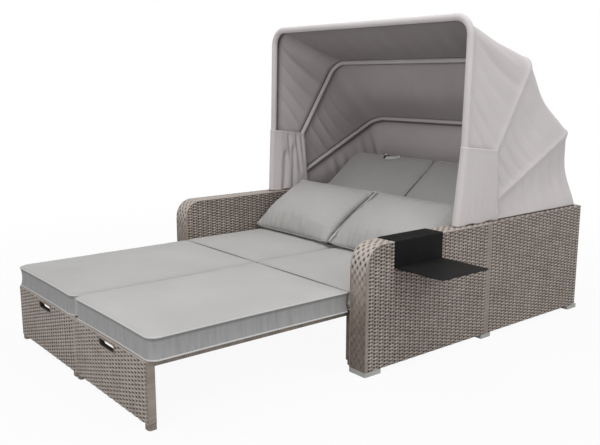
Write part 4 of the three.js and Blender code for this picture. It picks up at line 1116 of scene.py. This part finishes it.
def pillowHalf(side, thickness, random):
    card = pillowCard
    isFront = thickness > 0
    half, u, v = grid(card["across"], card["up"])
    a, b = np.sin(np.pi * (u - 0.5)), np.sin(np.pi * (v - 0.5))
    isInner = a * side < 0
    frontPower = card["power"] + np.where(isInner, card["innerPower"] * a ** 4, 0)
    power = frontPower if isFront else card["backPower"]
    swell = np.maximum((1 - a ** 2) * (1 - b ** 2), 0) ** power
    fold, pleated = 0, 0
    if isFront:
        swell = swell * (1 - card["sink"] * b)
        fold, pleated = gathers(a, b, random)
    isInside = swell > 1e-7
    height = thickness * swell + math.copysign(card["edge"], thickness) * isInside + fold
    points = pillowPlace(side, a, b, height)
    moveTo(half, points if isFront else np.where(isInside[:, None], restPillow(points.copy()), points))
    # Painted shade along the seams and in the pleats
    edgeX, edgeY = (1 - np.abs(a)) * card["width"] / 2, (1 - np.abs(b)) * card["height"] / 2
    shade, reach = (np.where(isInner, inner, outer) for inner, outer in zip(card["between"], card["beside"]))
    ends = card["ends"][0] * bell(edgeY, card["ends"][1])
    ends = ends + card["heel"][0] * (b < 0) * fall(edgeY, card["heel"][1])
    shaded = np.maximum(shade * bell(edgeX, reach), ends)
    setAttribute(half, "paintedShade", np.maximum(shaded, card["pleatShade"] * pleated))
    return half


def swellCloth(piece, seam):
    card = pillowCard
    pick(piece)
    group = piece.vertex_groups.new(name="seam")
    group.add([int(i) for i in np.flatnonzero(seam)], 1.0, "REPLACE")
    start = coords(piece).copy()
    swelling = piece.modifiers.new("swell", "CLOTH")
    swelling.settings.use_pressure = True
    swelling.settings.uniform_pressure_force = card["pressure"]
    swelling.settings.shrink_min = card["slack"]
    swelling.settings.vertex_group_mass = "seam"
    swelling.settings.effector_weights.gravity = 0
    swelling.settings.quality = card["quality"]
    swelling.point_cache.frame_start = 1
    swelling.point_cache.frame_end = card["frames"]
    for number in range(1, card["frames"] + 1):
        bpy.context.scene.frame_set(number)
    pick(piece)
    bpy.ops.object.modifier_apply(modifier="swell")
    bpy.context.scene.frame_set(1)
    moved = coords(piece) - start
    reach = np.linalg.norm(moved, axis=1)
    print(piece.name, "swelled", round(float(reach.max()) * 1000, 1), "mm")
    moved *= (np.minimum(reach, card["cap"]) / np.maximum(reach, 1e-9))[:, None]
    moveTo(piece, start + moved)


def throwPillow(word, side):
    card = pillowCard
    random = np.random.default_rng(31 + side)
    pillow = joinPieces([pillowHalf(side, thickness, random) for thickness in (card["front"], -card["back"])])
    pillow.name = f"throwPillow_{word}"
    moveTo(pillow, coords(pillow) + bodyShift)
    faceOut(pillow)
    ringA, ringB = ringRound(np.sin(np.linspace(-np.pi / 2, np.pi / 2, card["cordPoints"]))[:-1])
    line = pillowPlace(side, ringA, ringB, 0.0) + bodyShift
    toLine = [np.min(np.linalg.norm(line - point, axis=1)) for point in coords(pillow)]
    swellCloth(pillow, np.array(toLine) < card["seamReach"])
    modify(pillow, "SUBSURF", levels=1, render_levels=1)
    pillow.vertex_groups.clear()
    cord = cordAlong(line, card["piping"], 8, True)
    x, _, z = (coords(cord) - bodyShift).T
    # The cord is painted lighter towards the other pillow, a painted highlight, and darker along the bottom,
    # painted shade
    isBottom = z < line[:, 2].min() + card["bottomCord"]
    setAttribute(cord, "piping", card["pipingLight"] * (x * side < card["lightTo"]) * ~isBottom)
    setAttribute(cord, "paintedShade", card["pipingLight"] * isBottom)
    whole = joinPieces([pillow, cord])
    finishPiece(whole, f"throwPillow_{word}", f"pillow_{word}", cloth["cushion"])
    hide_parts(f"throw_pillow_{word}")


for word, side in sides.items():
    throwPillow(word, side)
print("pillows made")

# Canopy: cloth from bow to bow. A rib is the line of the cloth over one bow, or the hem round the body. It
# runs up a leg, round a corner and over half the top, in as many parts of its run
canopyCard = {
    "pivot": (0.660, 0.578), "halfWidth": 0.701, "corner": 0.080, "tab": 0.165, "out": 0.0185, "ease": 0.0025,
    "hemZ": 0.5545, "hemStart": 0.070, "hemBack": 1.549, "hemCorner": 0.032,
    "thickness": 0.0014, "columns": 400, "rows": 64, "legColumns": 0.7, "tightLeg": 0.4, "cornerSlack": 0.62,
    "wrap": 16, "wrapTurn": 215, "hemFrom": (150, 196), "hemOver": 12, "hemShade": 0.85,
    "ridgeReach": 0.02, "ridgeFoot": 0.3, "drop": 0.013, "dropReach": 0.03,
    # Painted shade on the lining near each bow: its strength, its reach, and how far from the bow it starts
    "shade": 0.85, "shadeReach": 0.014, "shadeFrom": 0.012, "frontShadeFrom": 0.03,
}
ribRun = {"leg": 5, "corner": 9, "middle": 13}
bowCard = {  # reach from the pivot, then the angles of the top and the knee
    "front": (0.887, 90.65, 99.4), "middle": (0.849, 57.35, 55.5), "rear": (0.891, 24.2, 15.2),
}
# Each panel's sag, the ridge that its bow holds up, painted shade on its lining overhead and beside, and its
# folds down from the corners
panelCard = {
    "front": {"sag": 0.005, "ridge": 0.006, "paintedDim": (0.52, 0.03), "seed": 5, "depth": 0.012, "centre": 0.56,
              "half": 0.28, "pitch": 0.094, "slant": 1.3, "hook": 0.4, "crest": 2.2, "top": 0.009},
    "middle": {"sag": 0.03, "ridge": 0.009, "paintedDim": (0.2, 0.24), "seed": 8, "depth": 0.018, "centre": 0.46,
               "half": 0.17, "pitch": 0.082, "slant": -0.3, "hook": 0.9, "crest": 2.6, "top": 0.006},
    "rear": {"sag": 0.024, "ridge": 0.013, "paintedDim": (0.0, 0.0), "seed": 13, "depth": 0.011, "pitch": 0.085},
}
foldLook = {
    "hookReach": 0.1, "sway": 0.15, "swayAcross": 5, "swayAlong": 8, "topPitch": 0.13, "topSlant": 1.6,
    "startShare": 0.25, "fading": 0.4, "footReach": 0.15, "heights": (0.3, 1.0), "count": 40,
}


def fromPivot(reach, degrees):
    y, z = canopyCard["pivot"]
    angle = math.radians(degrees)
    return np.array([y + reach * math.cos(angle), z + reach * math.sin(angle)])


def bowShape(word):
    reach, topAngle, kneeAngle = bowCard[word]
    knee, top = fromPivot(canopyCard["tab"], kneeAngle), fromPivot(reach, topAngle)
    rise = np.linalg.norm(top - knee)
    return knee, (top - knee) / rise, rise


def ribShape(word):
    card = canopyCard
    if word == "hem":
        start = card["pivot"][0] + card["hemStart"]
        return np.array([start, card["hemZ"]]), np.array([1.0, 0]), card["hemBack"] - start, card["hemCorner"]
    knee, up, _ = bowShape(word)
    reach, topAngle, _ = bowCard[word]
    lowest = knee + up * (card["hemZ"] - knee[1]) / up[1]
    top = fromPivot(reach, topAngle) + up * card["out"]
    return lowest, up, np.linalg.norm(top - lowest), card["corner"] + card["out"]


def ribAt(word, q):
    lowest, up, rise, corner = ribShape(word)
    halfWidth = canopyCard["halfWidth"] + canopyCard["out"]
    leg, bend, middle = ribRun.values()
    i = (1 - np.abs(q)) * middle
    turn = unit((i - leg) / (bend - leg)) * np.pi / 2
    share = unit((i - bend) / (middle - bend))
    along = np.where(i <= leg, (rise - corner) * i / leg, rise - corner * (1 - np.sin(turn)))
    x = np.where(i > bend, (halfWidth - corner) * (1 - share), halfWidth - corner * (1 - np.cos(turn)))
    sign = np.sign(q)
    place = np.column_stack([sign * x, lowest[0] + up[0] * along, lowest[1] + up[1] * along])
    out = np.column_stack([sign * np.cos(turn), up[0] * np.sin(turn), up[1] * np.sin(turn)])
    return place, out, along, np.cos(turn)


def ridges(phase, random, crest=1.0):
    count = foldLook["count"]
    heights = random.uniform(*foldLook["heights"], count)
    index = np.clip(np.rint(phase).astype(int), -count // 2, count // 2 - 1)
    return heights[index] * np.abs(np.cos(np.pi * (phase - np.rint(phase)))) ** (2 * crest)


def foldsOf(word, t, along, beside, x):
    card, look = panelCard[word], foldLook
    random = np.random.default_rng(card["seed"])
    middle = np.sin(np.pi * t) ** 1.2
    if word == "rear":
        upright = ridges(along / card["pitch"], random) * np.minimum(t / look["startShare"], 1)
        return card["depth"] * upright * (1 - look["fading"] * t) * middle * unit(along / look["footReach"])
    band = bell(along - card["centre"], card["half"])
    phase = along / card["pitch"] + card["slant"] * t + card["hook"] * (1 - fall(t, look["hookReach"]))
    phase = phase + look["sway"] * np.sin(look["swayAcross"] * t + look["swayAlong"] * along)
    folds = card["depth"] * beside * np.sin(np.pi * t) ** 0.7 * band * ridges(phase, random, card["crest"])
    overhead = ridges(x / look["topPitch"] + look["topSlant"] * t, random)
    return folds + card["top"] * (1 - beside) * middle * overhead


def slackness(q):
    leg, bend, middle = ribRun.values()
    tight, slack = canopyCard["tightLeg"], canopyCard["cornerSlack"]
    i = (1 - np.abs(q)) * middle
    share = unit((i / leg - tight) / (1 - tight))
    rising = slack * share ** 2 * (3 - 2 * share)
    return np.where(i <= leg, rising, np.minimum(slack + (1 - slack) * (i - leg) / (bend - leg), 1))


def clothPoint(first, second, word, q, t):
    card, panel = canopyCard, panelCard[word]
    isRear = word == "rear"
    a, outA, alongA, besideA = ribAt(first, q)
    b, outB, alongB, _ = ribAt(second, q)
    place = a + (b - a) * t[:, None]
    out = outA + (outB - outA) * t[:, None]
    out /= np.linalg.norm(out, axis=1)[:, None]
    span = np.linalg.norm(b - a, axis=1)
    fromBow = span * np.minimum(t, 1 if isRear else 1 - t)
    inward = panel["sag"] * np.sin(np.pi * t) ** 2 * slackness(q)
    inward = inward + foldsOf(word, t, np.minimum(alongA, alongB), 1 if isRear else besideA, place[:, 0])
    ridge = panel["ridge"] * (1 - np.exp(-(fromBow / card["ridgeReach"]) ** 1.5))
    inward = inward + ridge * np.minimum(alongA / card["ridgeFoot"], 1) * (1 - t ** 3 if isRear else 1)
    if word == "front":
        inward = inward + card["drop"] * (1 - bell(span * t, card["dropReach"])) * (1 - t) * slackness(q)
    return place - out * (inward + card["ease"])[:, None], out, fromBow, besideA


def wrapPoint(q, turn):
    place, out, _, _ = ribAt("front", q)
    _, up, _ = bowShape("front")
    radius = canopyCard["out"] - canopyCard["ease"]
    forward = np.array([0, -up[1], up[0]])
    centre = place - out * canopyCard["out"]
    way = out * np.cos(turn)[:, None] + forward * np.sin(turn)[:, None]
    return centre + way * radius, way


def thicken(piece, thickness):
    piece.data.materials.append(cloth["canopy"])
    piece.data.materials.append(cloth["lining"])
    modify(piece, "SOLIDIFY", thickness=thickness, offset=0, material_offset=1, material_offset_rim=0)


def warpColumns(u):  # most columns go to the legs, where the cloth folds
    leg, _, middle = ribRun.values()
    reach, legs = np.abs(2 * u - 1), canopyCard["legColumns"]
    onLeg = (middle - leg) / middle + (reach - 1 + legs) / legs * leg / middle
    onTop = reach / (1 - legs) * (middle - leg) / middle
    return np.sign(2 * u - 1) * np.where(reach > 1 - legs, onLeg, onTop)


def canopyPanel(word, first, second):
    card = canopyCard
    wraps = card["wrap"] if word == "front" else 0
    piece, u, v = grid(card["columns"], card["rows"] + wraps)
    row = v * (card["rows"] + wraps) - wraps
    q, t = warpColumns(u), unit(row / card["rows"])
    points, out, fromBow, beside = clothPoint(first, second, word, q, t)
    hem = np.zeros(len(q))
    if wraps:
        wrapped = card["wrapTurn"] * unit(-row / wraps)
        # Painted shade where the front cloth turns under its bow
        hem = unit((wrapped - np.interp(beside, (0, 1), card["hemFrom"])) / card["hemOver"])
        wrappedPoints, ways = wrapPoint(q, np.radians(wrapped))
        points, out = np.where((row < 0)[:, None], (wrappedPoints, ways), (points, out))
    moveTo(piece, points + bodyShift)
    setAttribute(piece, "hem", card["hemShade"] * hem)
    # Painted shade on the lining: near each bow, and over the top and the sides of the panel
    shadeFrom = np.where((t < 0.5) & (word == "front"), card["frontShadeFrom"], card["shadeFrom"])
    nearBow = card["shade"] * fall(np.maximum(fromBow - shadeFrom, 0), card["shadeReach"])
    setAttribute(piece, "paintedShade", np.maximum(np.interp(beside, (0, 1), panelCard[word]["paintedDim"]), nearBow))
    faceTowards(piece, out)
    thicken(piece, card["thickness"])
    finishPiece(piece, f"canopyCloth_{word}", None, cloth["canopy"])
    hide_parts(f"canopy_{word}_panel")
    return piece


frontCloth = canopyPanel("front", "front", "middle")
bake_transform(frontCloth)
middleCloth = canopyPanel("middle", "middle", "rear")
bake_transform(middleCloth)
rearCloth = canopyPanel("rear", "rear", "hem")
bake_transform(rearCloth)

# Cloth tunnels that the bows run through, from the knees up, with painted shade darkening the side that
# faces in
sleeveCard = {
    "radius": 0.0146, "foot": 0.03, "legStep": 0.01, "topStep": 0.02, "tilt": 0.45, "darkFrom": 0.72,
    "darkOver": 0.16, "dark": 0.8,
}


def bowSleeve(word):
    card = sleeveCard
    knee, up, rise = bowShape(word)
    radius, half = canopyCard["corner"], canopyCard["halfWidth"]
    turns = np.linspace(0, np.pi / 2, 16)
    leg = [(half, a) for a in np.arange(card["foot"], rise - radius, card["legStep"])]
    leg += [(half - radius * (1 - math.cos(c)), rise - radius * (1 - math.sin(c))) for c in turns]
    top = [(x, rise) for x in np.arange(-half + radius + card["topStep"], half - radius, card["topStep"])]
    line = [(-x, a) for x, a in leg] + top + leg[::-1]
    path = np.array([(x, knee[0] + up[0] * a, knee[1] + up[1] * a) for x, a in line]) + bodyShift
    sleeve = cordAlong(path, card["radius"], 24)
    x = coords(sleeve)[:, 0] - bodyShift[0]
    beside = unit((np.abs(x) - half + radius) / radius)
    inY, inZ = card["tilt"] * up[1] - up[0] * (1 - beside), -card["tilt"] * up[0] - up[1] * (1 - beside)
    inward = np.column_stack([-np.sign(x) * beside, inY, inZ])
    inward /= np.linalg.norm(inward, axis=1)[:, None]
    facing = (pointValues(sleeve, "normal") * inward).sum(axis=1)
    setAttribute(sleeve, "hem", card["dark"] * unit((facing - card["darkFrom"]) / card["darkOver"]))
    finishPiece(sleeve, f"bowSleeve_{word}", f"{word}_bow_body", cloth["canopy"])


for word in bowCard:
    bowSleeve(word)
print("canopy made")

# Side flaps: a cuff of cloth round the lower bows, open at the back, falling in upright folds. The right one
# reaches further forward at its bottom
flapCard = {
    "bottom": 0.553, "top": 0.905, "rearTop": 0.880, "rearY": 0.870, "rearSlant": 0.024, "inner": 0.6835,
    "outer": 0.723, "noseGap": 0.0175, "flare": {-1: 0.006, 1: 0.035}, "columns": 170, "rows": 50,
    "thickness": 0.0014, "height": 0.35, "hem": 0.018, "hemRise": 0.0008, "lowerSeam": 0.012,
    "stitch": 0.0012, "stitchHalf": 0.003, "fold": 0.0085, "foldStart": 0.04, "pitch": 0.047,
    "foldShare": 0.22, "outerFold": 0.35, "leftFold": 0.2, "lift": 0.012, "liftOver": 0.16, "liftTop": 1.5,
    "against": 0.0006, "hang": 0.004, "hangSpan": 0.021, "hangReach": 0.05, "rest": 0.5515, "flat": 0.337,
    "sway": ((0.3, 4, 9), (0.2, 11, 0)), "foldsEnd": 1.15,
}
# Folds on the left flap's inner face: place along the leg at its upper and lower end, height of both ends,
# depth, width
dartCard = [
    (0.43, 0.49, 1.02, 0.42, 0.008, 0.05), (0.34, 0.25, 0.72, -0.15, 0.013, 0.075),
    (0.60, 0.55, 0.80, -0.15, 0.013, 0.065), (0.71, 0.80, 1.02, 0.2, 0.010, 0.05),
    (0.88, 0.93, 1.02, 0.45, 0.006, 0.035),
]
dartFade = (0.14, 0.2)


def darts(place, v):
    total = np.zeros(len(v))
    for start, end, upper, lower, depth, half in dartCard:
        centre = start + (end - start) * unit((upper - v) / (upper - lower))
        window = unit((upper - v) / dartFade[0]) * unit((v - lower) / dartFade[1])
        total += depth * window ** 2 * (3 - 2 * window) * bell(place - centre, half)
    return total


def flapAt(side, u, v, random):
    card = flapCard
    knee, up, _ = bowShape("front")
    bowY = knee[0] + (card["bottom"] + (card["top"] - card["bottom"]) * v - knee[1]) / up[1] * up[0]
    radius, middle = (card["outer"] - card["inner"]) / 2, (card["outer"] + card["inner"]) / 2
    start = bowY - card["noseGap"] - card["flare"][side] * (1 - v) + radius
    rearY = card["rearY"] - card["rearSlant"] * v
    leg, arc = rearY - start, math.pi * radius
    s = u * (2 * leg + arc)
    isInner, isOuter = s < leg, s > leg + arc
    angle = np.pi - (s - leg) / radius
    x = np.where(isInner, card["inner"], np.where(isOuter, card["outer"], middle + radius * np.cos(angle)))
    y = np.where(isInner, rearY - s, np.where(isOuter, start + s - leg - arc, start - radius * np.sin(angle)))
    outX = np.where(isInner, -1, np.where(isOuter, 1, np.cos(angle)))
    outY = np.where(isInner | isOuter, 0, -np.sin(angle))
    topZ = card["top"] + (card["rearTop"] - card["top"]) * (y - bowY) / (rearY - bowY)
    z = card["bottom"] + (topZ - card["bottom"]) * v
    sway = sum(size * np.sin(rise * v + run * y) for size, rise, run in card["sway"])
    fold = ridges(y / card["pitch"] + sway, random) * unit((y - start) / card["foldStart"])
    opening = card["foldShare"] + (1 - card["foldShare"]) * unit(card["foldsEnd"] - v) ** 0.8
    innerShare = card["leftFold"] if side < 0 else 1
    fold = fold * opening * np.where(isInner, innerShare, card["outerFold"] * (1 - v) ** 1.5)
    fromTop, fromBottom = (1 - v) * card["height"], v * card["height"]
    seams = bell(fromTop - card["hem"], card["stitchHalf"])
    seams = seams + bell(fromBottom - card["lowerSeam"], card["stitchHalf"])
    bulge = card["fold"] * fold - card["stitch"] * seams + card["hemRise"] * (fromTop < card["hem"])
    if side < 0:
        place = (y - start) / leg
        lift = card["lift"] * unit(place / card["liftOver"]) * unit(card["liftTop"] - v)
        bulge = np.where(isInner, np.maximum(bulge + lift - darts(place, v), -card["against"]), bulge)
    hang = card["hang"] * np.sin(y / card["hangSpan"] + side)
    z = z + hang * unit(1 - fromBottom / card["hangReach"]) ** 2 * (v < 0.5)
    points = np.column_stack([side * (x + bulge * outX), y + bulge * outY, np.maximum(z, card["rest"])])
    return points, np.column_stack([side * outX, outY, np.zeros(len(outX))])


for word, side in sides.items():
    flap, u, v = grid(flapCard["columns"], flapCard["rows"])
    points, out = flapAt(side, u, v, np.random.default_rng(21 + side))
    moveTo(flap, points + bodyShift)
    faceTowards(flap, out)
    thicken(flap, flapCard["thickness"])
    finishPiece(flap, f"canopyFlap_{word}", "sofa", cloth["canopy"])
    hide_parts(f"canopy_flap_{word}")
    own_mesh(flap)
print("flaps made")
